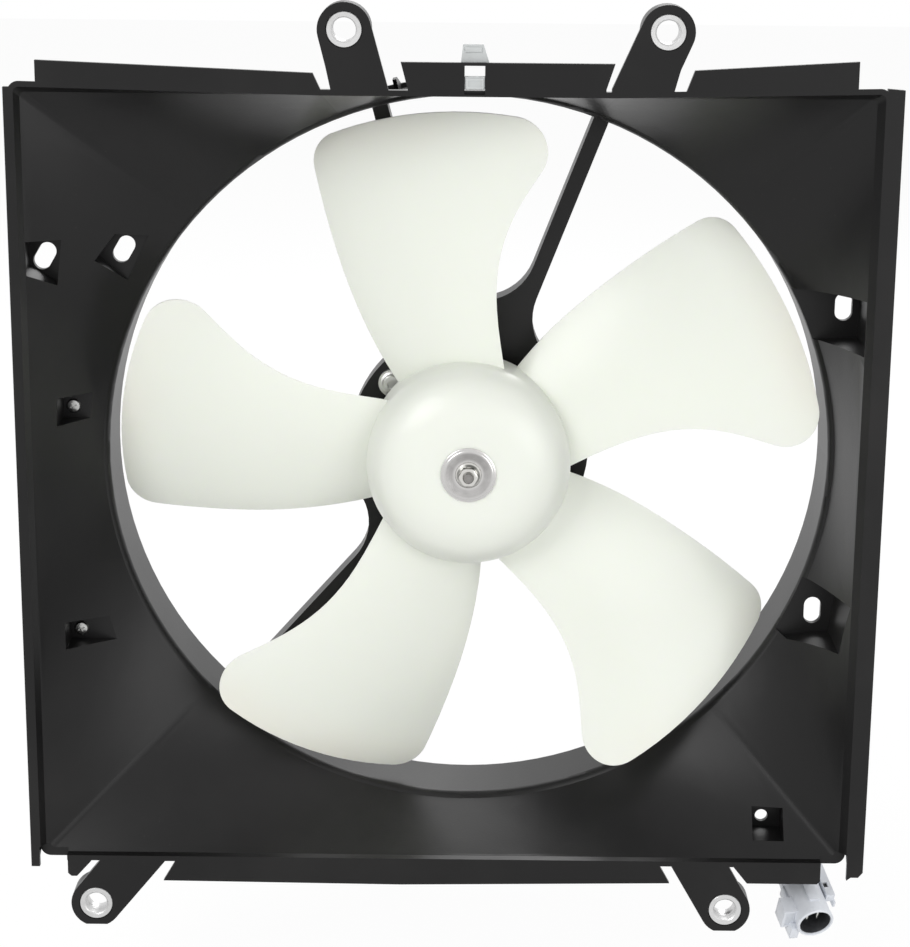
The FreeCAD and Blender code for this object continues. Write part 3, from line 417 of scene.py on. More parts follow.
@dataclass(frozen=True)
class GreyPlastic:
    """Light grey moulded plastic with a soft sheen and a little handling dirt."""

    name: str
    base: Colour
    dirt: Colour = (0.34, 0.34, 0.32)
    roughness: float = 0.26

    def material(self) -> bpy.types.Material:
        """Builds the material.

        Returns:
            The material.
        """
        tree = Tree(self.name)
        cloud = tree.noise(scale=70.0, detail=3.0, rough=0.55)
        fine = tree.noise(scale=1300.0, detail=2.0)
        colour = tree.blend(cloud.ramp(0.5, 0.85) * 0.5, self.base, self.dirt)
        rough = cloud * 0.12 + fine * 0.05 + self.roughness
        return tree.surface(colour, rough, tree.bump(fine, strength=0.08))


@dataclass(frozen=True)
class PaintedSteel:
    """Black dip-painted steel with orange peel and worn patches."""

    name: str
    base: Colour = (0.018, 0.018, 0.020)
    worn: Colour = (0.075, 0.070, 0.065)
    roughness: float = 0.26

    def material(self) -> bpy.types.Material:
        """Builds the material.

        Returns:
            The material.
        """
        tree = Tree(self.name)
        cloud = tree.noise(scale=28.0, detail=4.0, rough=0.6)
        peel = tree.noise(scale=420.0, detail=2.0)
        colour = tree.blend(cloud.ramp(0.55, 0.8) * 0.5, self.base, self.worn)
        rough = cloud * 0.15 + self.roughness
        return tree.surface(colour, rough, tree.bump(peel, strength=0.18, distance=0.0003))


@dataclass(frozen=True)
class DullMatter:
    """Any plain matt stuff: ferrite, carbon, board, rubber or enamel, and the near-black painted shade inside
    the socket and in its rail's window.
    """

    name: str
    base: Colour
    spread: Colour
    roughness: float
    metallic: float = 0.0
    grain: float = 300.0

    def material(self) -> bpy.types.Material:
        """Builds the material.

        Returns:
            The material.
        """
        tree = Tree(self.name)
        cloud = tree.noise(scale=self.grain, detail=4.0, rough=0.6)
        colour = tree.blend(cloud.ramp(0.35, 0.75), self.base, self.spread)
        rough = cloud * 0.2 + (self.roughness - 0.1)
        return tree.surface(colour, rough, tree.bump(cloud, strength=0.15), {"Metallic": self.metallic})


class Finish(Enum):
    """Every finish of the object."""

    SHROUD = MouldedBlack("shroud_black_satin")
    FAN = MilkyNylon("fan_milky_nylon")
    CLIP = GreyPlastic("clip_grey_plastic", base=(0.54, 0.56, 0.56))
    CONNECTOR = GreyPlastic("connector_grey_plastic", base=(0.73, 0.755, 0.80), dirt=(0.58, 0.60, 0.64))
    SLEEVE = ZincSteel("sleeve_zinc", base=(0.66, 0.66, 0.66), roughness=0.22, grain=(1.0, 0.1, 1.0))
    # washer and nut: each carries a ring of painted shade round the axis
    WASHER = TurnedSteel("washer_zinc")
    NUT = TurnedSteel("nut_zinc", base=(0.74, 0.73, 0.70), painted_shade_colour=(0.13, 0.13, 0.12), roughness=0.08,
                      painted_shade_band=(0.0040, 0.0045, 0.0050, 0.0056), strength=0.9)
    PAD_SCREW = ZincSteel("pad_screw_zinc", base=(0.50, 0.50, 0.49), dull=(0.20, 0.20, 0.19), roughness=0.13)
    BRACKET = ZincSteel("bracket_zinc", roughness=0.24)
    SHAFT = ZincSteel("shaft_steel", base=(0.5, 0.5, 0.5), roughness=0.10, grain=(1.0, 8.0, 1.0))
    STUD = ZincSteel("stud_steel", base=(0.30, 0.29, 0.28), dull=(0.12, 0.12, 0.11))
    CAN = PaintedSteel("can_black_paint")
    TERMINAL = ZincSteel("terminal_tin", base=(0.75, 0.75, 0.72), roughness=0.10)
    SEAL = DullMatter("seal_rubber", (0.30, 0.32, 0.31), (0.22, 0.24, 0.23), 0.6)
    # painted shade: a near-black matt sheet inside the socket and in the rail's window
    SOCKET = DullMatter("socket_painted_shade", (0.030, 0.031, 0.034), (0.050, 0.052, 0.056), 0.5, grain=500.0)
    RUBBER = DullMatter("black_rubber", (0.015, 0.015, 0.015), (0.03, 0.03, 0.03), 0.65)
    BUSH = DullMatter("bush_bronze", (0.42, 0.27, 0.13), (0.30, 0.20, 0.10), 0.45, 0.9, 900.0)
    MAGNET = DullMatter("magnet_ferrite", (0.04, 0.04, 0.045), (0.07, 0.07, 0.075), 0.6)
    BOARD = DullMatter("brush_board", (0.16, 0.07, 0.03), (0.22, 0.11, 0.05), 0.55)
    CARBON = DullMatter("brush_carbon", (0.02, 0.02, 0.02), (0.04, 0.04, 0.04), 0.7, grain=900.0)
    SPRING = ZincSteel("spring_steel", roughness=0.13)
    CORE = DullMatter("core_iron", (0.13, 0.13, 0.14), (0.20, 0.17, 0.15), 0.5, 0.6, 600.0)
    COPPER = DullMatter("copper_enamel", (0.42, 0.13, 0.05), (0.30, 0.08, 0.03), 0.3, 0.3, 800.0)
    COMMUTATOR = DullMatter("commutator_copper", (0.62, 0.28, 0.15), (0.45, 0.20, 0.11), 0.3, 1.0, 700.0)


SLOT_FINISH: dict[str, Finish] = {
    "shroud_black": Finish.SHROUD, "fan_nylon": Finish.FAN, "clip_grey": Finish.CLIP,
    "connector_grey": Finish.CONNECTOR, "sleeve_zinc": Finish.SLEEVE, "washer_zinc": Finish.WASHER,
    "nut_zinc": Finish.NUT, "zinc_steel": Finish.BRACKET, "shaft_steel": Finish.SHAFT,
    "can_steel": Finish.CAN, "terminal_tin": Finish.TERMINAL, "seal_rubber": Finish.SEAL,
    "black_rubber": Finish.RUBBER, "bush_bronze": Finish.BUSH, "magnet_ferrite": Finish.MAGNET,
    "brush_board": Finish.BOARD, "brush_carbon": Finish.CARBON, "spring_steel": Finish.SPRING,
    "core_iron": Finish.CORE, "copper_enamel": Finish.COPPER, "commutator_copper": Finish.COMMUTATOR,
}


class Paints:
    """Makes each finish once and hands it out."""

    def __init__(self) -> None:
        """Starts with no material made."""
        self.made: dict[Finish, bpy.types.Material] = {}

    def dress(self, piece: Piece, finish: Finish) -> None:
        """Gives a piece one finish all over.

        Args:
            piece: The piece to dress.
            finish: Its finish.
        """
        if finish not in self.made:
            self.made[finish] = finish.value.material()
        piece.data.materials.clear()
        piece.data.materials.append(self.made[finish])
        for face in piece.data.polygons:
            face.material_index = 0


# ---------------------------------------------------------------- camera, lamps, floor


@dataclass
class View:
    """The camera of the photograph.

    Its direction, roll and place were worked out from the object's own corners and circles.
    Angles are in degrees and lengths in metres, apart from those in pixels and the sensor's.
    """

    elevation: float = 14.816
    azimuth: float = 0.267
    roll: float = 0.516
    distance: float = 1.14997
    offset_right: float = -0.006239
    offset_up: float = -0.007308
    centre: Place = (0.0, 0.045, 0.0)
    focal_px: float = 2462.78
    long_side_px: float = 947.0
    sensor_mm: float = 36.0
    nearest: float = 0.05
    farthest: float = 30.0

    def build(self) -> None:
        """Makes the camera and makes it the scene's own."""
        elevation, azimuth, roll = (math.radians(v) for v in (self.elevation, self.azimuth, self.roll))
        forward = -Vector((math.sin(azimuth) * math.cos(elevation),
                           -math.cos(azimuth) * math.cos(elevation), math.sin(elevation)))
        right = Vector((math.cos(azimuth), math.sin(azimuth), 0.0))
        up = right.cross(forward)
        turned_right = right * math.cos(roll) + up * math.sin(roll)
        turned_up = up * math.cos(roll) - right * math.sin(roll)
        place = (Vector(self.centre) - forward * self.distance
                 + right * self.offset_right + up * self.offset_up)
        data = bpy.data.cameras.new("photo_view")
        data.sensor_width = self.sensor_mm
        data.lens = self.focal_px / self.long_side_px * self.sensor_mm
        data.clip_start, data.clip_end = self.nearest, self.farthest
        camera = bpy.data.objects.new("photo_view", data)
        bpy.context.scene.collection.objects.link(camera)
        camera.matrix_world = Matrix.Translation(place) @ Matrix(
            (turned_right, turned_up, -forward)).transposed().to_4x4()
        bpy.context.scene.camera = camera


class Lamp(NamedTuple):
    """A square soft lamp, in metres and watts."""

    name: str
    place: Place
    target: Place
    size: float
    watts: float


@dataclass
class Studio:
    """White surroundings, soft lamps and a pale floor."""

    lamps: tuple[Lamp, ...] = (
        Lamp("key", place=(-1.3, -1.7, 1.2), target=(0.0, 0.0, 0.0), size=1.2, watts=20.0),
        Lamp("fill", place=(1.4, -1.7, 0.2), target=(0.0, 0.0, 0.0), size=1.3, watts=13.0),
        Lamp("back", place=(0.4, 1.6, 1.3), target=(0.0, 0.05, 0.0), size=1.2, watts=14.0))
    world_strength: float = 0.62
    floor_height: float = -0.262
    floor_size: float = 12.0
    floor_shade: float = 0.86
    floor_glow: float = 1.04
    floor_glow_share: float = 0.86

    def build(self) -> None:
        """Makes the world, the lamps and the floor."""
        self.world()
        for lamp in self.lamps:
            self.lamp(lamp)
        self.floor()
        bpy.context.scene.view_settings.view_transform = "Standard"

    def world(self) -> None:
        """Makes surroundings that light the object softly and look pure white to the eye."""
        world = bpy.data.worlds.new("surroundings")
        bpy.context.scene.world = world
        world.use_nodes = True
        graph = Graph(world.node_tree)
        lit, shown = (graph.node("ShaderNodeBackground", {}, {"Color": WHITE, "Strength": strength})
                      for strength in (self.world_strength, 1.0))
        graph.close("ShaderNodeOutputWorld", graph.seen_by_eye(), lit, shown)

    @staticmethod
    def lamp(lamp: Lamp) -> None:
        """Makes one lamp.

        Args:
            lamp: Its sizes.
        """
        data = bpy.data.lights.new(lamp.name, "AREA")
        data.size, data.energy = lamp.size, lamp.watts
        light = bpy.data.objects.new(lamp.name, data)
        light.location = lamp.place
        way = Vector(lamp.target) - Vector(lamp.place)
        light.rotation_euler = way.to_track_quat("-Z", "Y").to_euler()
        bpy.context.scene.collection.objects.link(light)

    def floor(self) -> None:
        """Makes a wide pale floor that keeps a soft shadow and looks white to the eye."""
        clear_selection()
        bpy.ops.mesh.primitive_plane_add(size=self.floor_size, location=(0.0, 0.0, self.floor_height))
        floor = bpy.context.object
        floor.name = "floor"
        material = bpy.data.materials.new("floor_pale")
        material.use_nodes = True
        graph = Graph(material.node_tree)
        matt = graph.node("ShaderNodeBsdfDiffuse", {}, {"Color": (*[self.floor_shade] * 3, 1.0)})
        glow = graph.node("ShaderNodeEmission", {}, {"Color": WHITE, "Strength": self.floor_glow})
        graph.close("ShaderNodeOutputMaterial", graph.seen_by_eye() * self.floor_glow_share, matt, glow)
        floor.data.materials.append(material)


# ---------------------------------------------------------------- modelling helpers
# Hand tools that work on pieces with bpy.ops, in millimetres and degrees.


class Box(NamedTuple):
    """A box between two corners, and how far its edges are rounded. A bevel of 0 leaves them sharp."""

    low: Place
    high: Place
    bevel: float = 0.3


def clear_selection() -> None:
    """Leaves edit mode and deselects everything."""
    if bpy.context.object and bpy.context.object.mode != "OBJECT":
        bpy.ops.object.mode_set(mode="OBJECT")
    bpy.ops.object.select_all(action="DESELECT")
    bpy.context.view_layer.objects.active = None


def activate(piece: Piece) -> None:
    """Makes one piece the only selected and active one.

    Args:
        piece: The piece.
    """
    clear_selection()
    piece.select_set(True)
    bpy.context.view_layer.objects.active = piece


def edit(piece: Piece, mode: str = "VERT", action: str = "SELECT") -> None:
    """Opens a piece in edit mode.

    Args:
        piece: The piece.
        mode: What is picked from here on: VERT or FACE.
        action: SELECT for a start with everything picked, or DESELECT.
    """
    activate(piece)
    bpy.ops.object.mode_set(mode="EDIT")
    bpy.ops.mesh.select_mode(type=mode)
    bpy.ops.mesh.select_all(action=action)


def settle(piece: Piece) -> Piece:
    """Puts a piece's place, turn and size into its mesh.

    Args:
        piece: The piece.

    Returns:
        The same piece.
    """
    activate(piece)
    bpy.ops.object.transform_apply(location=True, rotation=True, scale=True)
    return piece


def smooth(piece: Piece, degrees: float = SMOOTH_UP_TO) -> Piece:
    """Shades a piece smooth.

    Args:
        piece: The piece.
        degrees: The largest angle between faces that is smoothed.

    Returns:
        The same piece.
    """
    activate(piece)
    bpy.ops.object.shade_smooth_by_angle(angle=math.radians(degrees))
    return piece


def turned(profile: Profile, at: Point = (0.0, 0.0), segments: int = 48, datum: Point = (0.0, 0.0)) -> Piece:
    """Turns a profile about a line along Y.

    A circle is extruded and scaled from point to point. A profile that comes back to its first
    point closes on itself, and any other is capped at both ends.

    Args:
        profile: Radius and depth of each point, counted from the datum.
        at: X and Z of the line.
        segments: Number of sides.
        datum: Radius and depth that every point adds to.

    Returns:
        The turned piece.
    """
    points = [(datum[0] + radius, datum[1] + depth) for radius, depth in profile]
    radius, depth = points[0]
    clear_selection()
    bpy.ops.mesh.primitive_circle_add(
        vertices=segments, radius=radius * MM, fill_type="NOTHING",
        location=(at[0] * MM, depth * MM, at[1] * MM), rotation=(math.pi / 2, 0.0, 0.0))
    piece = settle(bpy.context.object)
    edit(piece)
    for next_radius, next_depth in points[1:]:
        bpy.ops.mesh.extrude_region_move(
            TRANSFORM_OT_translate={"value": (0.0, (next_depth - depth) * MM, 0.0)})
        share = next_radius / radius
        bpy.ops.transform.resize(value=(share, 1.0, share),
                                 center_override=(at[0] * MM, next_depth * MM, at[1] * MM))
        radius, depth = next_radius, next_depth
    bpy.ops.mesh.select_all(action="SELECT")
    if points[0] == points[-1]:
        bpy.ops.mesh.remove_doubles(threshold=WELD * MM)
    else:
        bpy.ops.mesh.fill_holes(sides=0)
    bpy.ops.mesh.select_all(action="SELECT")
    bpy.ops.mesh.normals_make_consistent(inside=False)
    return smooth(piece)


def ring(outline: Profile, at: Point = (0.0, 0.0), segments: int = 48, datum: Point = (0.0, 0.0)) -> Piece:
    """Turns a closed outline, which is given without its first point again, as turned() does."""
    return turned((*outline, outline[0]), at, segments, datum)


def bevelled(piece: Piece, width: float) -> Piece:
    """Rounds all the edges of a piece.

    Args:
        piece: The piece.
        width: Width of the rounded edges.

    Returns:
        The same piece.
    """
    edit(piece)
    bpy.ops.mesh.bevel(offset=width * MM, segments=BEVEL_SEGMENTS, affect="EDGES")
    return piece


def block(box: Box) -> Piece:
    """Makes a box with rounded or sharp edges.

    Args:
        box: Its corners and bevel.

    Returns:
        The box.
    """
    clear_selection()
    centre = [(a + b) / 2 * MM for a, b in zip(box.low, box.high)]
    bpy.ops.mesh.primitive_cube_add(size=1.0, location=centre)
    piece = bpy.context.object
    piece.scale = [(b - a) * MM for a, b in zip(box.low, box.high)]
    settle(piece)
    return smooth(bevelled(piece, box.bevel) if box.bevel else piece)


def prism(sides: int, radius: float, front: float, rear: float, at: Point = (0.0, 0.0)) -> Piece:
    """Makes a straight bar along Y with a regular outline.

    Args:
        sides: Number of sides.
        radius: Radius through the outline's corners.
        front: Depth of its front.
        rear: Depth of its rear.
        at: X and Z of its axis.

    Returns:
        The bar.
    """
    clear_selection()
    bpy.ops.mesh.primitive_cylinder_add(
        vertices=sides, radius=radius * MM, depth=(rear - front) * MM,
        location=(at[0] * MM, (front + rear) / 2 * MM, at[1] * MM), rotation=(math.pi / 2, 0.0, 0.0))
    return settle(bpy.context.object)


def pick(piece: Piece, direction: Place) -> None:
    """Picks the outermost faces on one side, and stays in edit mode.

    Args:
        piece: The piece.
        direction: The way that the faces look.
    """
    edit(piece, "FACE", "DESELECT")
    bpy.ops.object.mode_set(mode="OBJECT")
    way = Vector(direction)
    facing = [face for face in piece.data.polygons if face.normal.dot(way) > SAME_WAY]
    reach = max(face.center.dot(way) for face in facing)
    for face in facing:
        face.select = reach - face.center.dot(way) < SAME_FACE * MM
    bpy.ops.object.mode_set(mode="EDIT")


def press(piece: Piece, direction: Place, margin: float, depth: float) -> Piece:
    """Insets the outermost face on one side and pushes it in.

    Args:
        piece: The piece.
        direction: The way that the face looks.
        margin: Width of the rim that stays.
        depth: How far the face goes in. Below 0 it comes out.

    Returns:
        The same piece.
    """
    pick(piece, direction)
    bpy.ops.mesh.inset(thickness=margin * MM, depth=0.0)
    bpy.ops.mesh.extrude_region_move(
        TRANSFORM_OT_translate={"value": tuple(-Vector(direction) * depth * MM)})
    return smooth(piece)


def wedge(box: Box, direction: Place, shares: Place, still: Place) -> Piece:
    """Makes a box with one side scaled about a point.

    Args:
        box: Its corners and bevel.
        direction: The way that the scaled side looks.
        shares: What is left of the side along X, Y and Z.
        still: The point that stays in place.

    Returns:
        The tapered box.
    """
    piece = block(box)
    pick(piece, direction)
    bpy.ops.transform.resize(value=shares, center_override=tuple(v * MM for v in still))
    return smooth(piece)


def carve(piece: Piece, cutter: Piece) -> Piece:
    """Cuts one piece out of another and throws the cutter away.

    Args:
        piece: The piece that stays.
        cutter: The piece that is cut out of it.

    Returns:
        The cut piece.
    """
    activate(piece)
    cut = piece.modifiers.new("carve", "BOOLEAN")
    cut.operation, cut.solver, cut.object = "DIFFERENCE", "EXACT", cutter
    bpy.ops.object.modifier_apply(modifier=cut.name)
    bpy.data.objects.remove(cutter, do_unlink=True)
    return smooth(piece)


def pulled_apart(piece: Piece, at: Point, half: float, turn: float) -> Piece:
    """Makes a round piece a long one: its halves move apart along X, and then it is turned.

    Args:
        piece: The round piece.
        at: X and Z of its axis.
        half: How far each half moves.
        turn: Its turn from +X towards +Z.

    Returns:
        The same piece.
    """
    for side in (-1, 1):
        edit(piece, action="DESELECT")
        bpy.ops.object.mode_set(mode="OBJECT")
        for vertex in piece.data.vertices:
            vertex.select = (vertex.co.x - at[0] * MM) * side > 0
        bpy.ops.object.mode_set(mode="EDIT")
        bpy.ops.transform.translate(value=(side * half * MM, 0.0, 0.0))
    bpy.ops.object.mode_set(mode="OBJECT")
    return smooth(move(piece, about(at, turn)))


def move(piece: Piece, matrix: Matrix) -> Piece:
    """Moves a settled piece by a matrix and settles it again."""
    piece.matrix_world = matrix @ piece.matrix_world
    return settle(piece)


def copies(first: Piece, places: Iterable[Matrix]) -> list[Piece]:
    """Puts copies of a piece in several places, each with its own mesh, and throws it away.

    Args:
        first: The piece to copy.
        places: The move of each copy.

    Returns:
        The copies.
    """
    made = []
    for place in places:
        activate(first)
        bpy.ops.object.duplicate(linked=False)
        made.append(move(bpy.context.object, place))
    bpy.data.objects.remove(first, do_unlink=True)
    return made


def shifted(x: float, y: float, z: float) -> Matrix:
    """A straight move."""
    return Matrix.Translation((x * MM, y * MM, z * MM))


def about(at: Point, degrees: float) -> Matrix:
    """A turn about a line along Y, from +X towards +Z."""
    (x, z), turn = at, Matrix.Rotation(math.radians(-degrees), 4, "Y")
    return shifted(x, 0.0, z) @ turn @ shifted(-x, 0.0, -z)


def about_axis(degrees: float) -> Matrix:
    """A turn about the fan axis, from +X towards +Z."""
    return about((0.0, 0.0), degrees)


def outwards() -> Matrix:
    """Turns what was made along Y so that it points along +X."""
    return Matrix.Rotation(math.radians(-90.0), 4, "Z")


def join(pieces: Sequence[Piece]) -> Piece:
    """Makes one piece from several.

    Args:
        pieces: The pieces, the first of which takes in the others.

    Returns:
        The joined piece.
    """
    clear_selection()
    for piece in pieces:
        piece.select_set(True)
    bpy.context.view_layer.objects.active = pieces[0]
    if len(pieces) > 1:
        bpy.ops.object.join()
    return settle(pieces[0])


# ---------------------------------------------------------------- sub-assemblies


@dataclass
class Assembly:
    """What every sub-assembly shares: it dresses its pieces and puts them on a body."""

    paints: Paints
    body: str = "housing"

    def add(self, name: str, finish: Finish, pieces: Sequence[Piece], *replaced: str) -> None:
        """Joins, names, dresses and mounts one finished piece.

        Args:
            name: Its name in the visual model.
            finish: Its finish.
            pieces: What it is joined from.
            replaced: CAD nodes that it stands for.
        """
        piece = join(pieces)
        piece.name = piece.data.name = name
        self.paints.dress(piece, finish)
        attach(piece, self.body)
        if replaced:
            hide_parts(*replaced)
        LOG.info("built %s", name)

    def build(self) -> None:
        """Builds every piece of the sub-assembly."""
        raise NotImplementedError


class Ear(NamedTuple):
    """One mounting ear: its side, the centre of its sleeve and the middle of its root."""

    side: str
    centre: Point
    root: Point


@dataclass
class Ears(Assembly):
    """Sleeves with turned edges, and the collars and ribs behind the four mounting ears."""

    ears: tuple[Ear, ...] = (
        Ear("upper_left", (-55.4, 200.6), (-49.0, 176.5)), Ear("upper_right", (83.8, 200.6), (74.5, 176.5)),
        Ear("lower_left", (-173.2, -206.8), (-156.0, -186.5)),
        Ear("lower_right", (122.8, -206.8), (110.0, -186.5)))
    bore: float = 5.15
    outer: float = 7.95
    length: float = 12.0
    chamfer: float = 0.5
    lip: float = 0.06
    groove: tuple[float, ...] = (0.55, 0.53, 0.47, 0.45)
    groove_depth: float = 0.15
    boss: float = 11.7
    collar_gap: float = 0.1
    collar_margin: float = 1.4
    collar_height: float = 0.4
    web_rear: float = 3.0
    rib_half: float = 0.9
    rib_crest: float = 0.15
    rib_drop: float = 1.5
    sunk: float = 0.2

    def build(self) -> None:
        """Builds the sleeves, the collars and the ribs."""
        sleeves = copies(self.sleeve(), [shifted(x, 0.0, z) for _, (x, z), _ in self.ears])
        for ear, sleeve in zip(self.ears, sleeves):
            self.add(f"{ear.side}_sleeve_turned", Finish.SLEEVE, [sleeve], f"{ear.side}_sleeve")
        self.add("ear_collars", Finish.SHROUD, [self.collar(ear.centre) for ear in self.ears])
        self.add("ear_ribs", Finish.SHROUD, [self.rib(ear) for ear in self.ears])

    def sleeve(self) -> Piece:
        """Turns a rolled sleeve with chamfered ends and a shallow groove in the middle of its bore.

        Returns:
            The sleeve, on the fan axis.
        """
        bore, outer, end, chamfer = self.bore, self.outer, self.length, self.chamfer
        depths = (0.0, self.groove_depth, self.groove_depth, 0.0)
        groove = [(bore + depth, end * share) for share, depth in zip(self.groove, depths)]
        return ring([
            (bore, chamfer), (bore + chamfer, self.lip), (outer - chamfer, 0.0), (outer, chamfer),
            (outer, end - chamfer), (outer - chamfer, end), (bore + chamfer, end - self.lip),
            (bore, end - chamfer), *groove], segments=56)

    def collar(self, at: Point) -> Piece:
        """Turns a low rounded collar round a sleeve, at the rear of an ear's boss.

        Args:
            at: X and Z of the sleeve.

        Returns:
            The collar.
        """
        inner, outer = self.outer + self.collar_gap, self.boss - self.collar_margin
        high, rear = self.collar_height, self.length
        return ring([(inner, rear - high), (outer, rear - high), (outer, rear - 0.1), (outer - high, rear),
                           (inner + 0.3, rear), (inner, rear - 0.2)], at, segments=40)

    def rib(self, ear: Ear) -> Piece:
        """Makes a sloping rib behind an ear, from its boss to the middle of its root.

        Args:
            ear: The ear.

        Returns:
            The rib.
        """
        x, z = ear.centre
        across, down = ear.root[0] - x, ear.root[1] - z
        tip = z + math.hypot(across, down)
        box = Box((x - self.rib_half, self.web_rear - self.sunk, z + self.boss - self.rib_drop),
                  (x + self.rib_half, self.length - self.rib_drop, tip), 0.0)
        rib = wedge(box, UP, (1.0, self.rib_crest, 1.0), (x, self.web_rear, tip))
        return move(rib, about(ear.centre, math.degrees(math.atan2(down, across)) - 90.0))


class Slot(NamedTuple):
    """A slot in a pad of the panel: its centre, the pad's front and the slot's turn."""

    centre: Point
    floor: float
    turn: float


@dataclass
class PanelFittings(Assembly):
    """Small features of the shroud's panel and ring."""

    screws: tuple[Place, ...] = ((-182.3, 37.2, 25.2), (-181.3, 33.8, -81.5))
    screw_profile: Profile = ((1.85, 4.0), (1.85, 0.0), (3.3, 0.0), (3.3, -0.7), (2.7, -1.6), (1.2, -2.0))
    recess_half: Point = (1.7, 0.35)
    recess_depths: Point = (-2.4, -0.9)
    recess_turns: tuple[float, ...] = (30.0, 120.0)
    slots: tuple[Slot, ...] = (
        Slot((-191.2, 97.1), 24.6, 60.0), Slot((-158.0, 97.6), 41.7, 60.0),
        Slot((171.9, 72.9), 48.0, 90.0), Slot((164.1, -73.6), 47.7, 90.0))
    slot_radius: float = 4.0
    slot_gap: float = 0.05
    slot_half: float = 2.5
    wall: float = 2.5
    collar_outline: Profile = ((0.0, -0.3), (1.5, -0.3), (1.5, 0.7), (1.1, 1.1), (0.3, 1.1), (0.0, 0.8))
    marks: tuple[Point, ...] = (
        (-165.0, 180.0), (-100.0, 178.0), (112.0, 179.5), (150.0, 181.5), (-110.0, -189.5), (-60.0, -189.5),
        (0.0, -189.5), (60.0, -189.0), (150.0, -189.0), (182.6, 130.0), (182.6, 20.0), (182.6, -130.0))
    mark_outline: Profile = ((2.4, 2.4), (2.4, 2.62), (2.2, 2.7), (1.9, 2.7), (1.8, 2.6), (1.8, 2.4))
    bead_centre: Point = (171.0, 82.6)
    bead_half: Point = (1.5, 1.2)

    def build(self) -> None:
        """Builds the screws in two pads, the slots' collars, the ejector pins' marks and the ring's bead."""
        self.add("pad_screws", Finish.PAD_SCREW, [self.screw(*spot) for spot in self.screws])
        self.add("slot_collars", Finish.SHROUD, [self.collar(slot) for slot in self.slots])
        self.add("pin_marks", Finish.SHROUD, [ring(self.mark_outline, at, 20) for at in self.marks])
        self.add("ring_rear_bead", Finish.SHROUD, [self.rear_bead()])

    def screw(self, x: float, floor: float, z: float) -> Piece:
        """Makes a small pan-head screw with a cross recess.

        Args:
            x: Its place across.
            floor: Depth of the face that its head sits on.
            z: Its height.

        Returns:
            The screw.
        """
        head = turned(self.screw_profile, (x, z), 28, datum=(0.0, floor))
        wide, thick = self.recess_half
        front, rear = (floor + depth for depth in self.recess_depths)
        for turn in self.recess_turns:
            bar = block(Box((x - wide, front, z - thick), (x + wide, rear, z + thick), 0.0))
            carve(head, move(bar, about((x, z), turn)))
        return head

    def collar(self, slot: Slot) -> Piece:
        """Makes a raised rim round a slot on the rear of its pad.

        Args:
            slot: The slot.

        Returns:
            The rim.
        """
        datum = (self.slot_radius + self.slot_gap, slot.floor + self.wall)
        rim = ring(self.collar_outline, slot.centre, 30, datum)
        return pulled_apart(rim, slot.centre, self.slot_half, slot.turn)

    def rear_bead(self) -> Piece:
        """Makes a rounded bead on the rear edge of the shroud's ring.

        Returns:
            The bead.
        """
        wide, deep = self.bead_half
        turns = [math.radians(angle) for angle in range(0, 360, 45)]
        rounded = [(wide * math.cos(turn), deep * math.sin(turn)) for turn in turns]
        return ring(rounded, segments=144, datum=self.bead_centre)


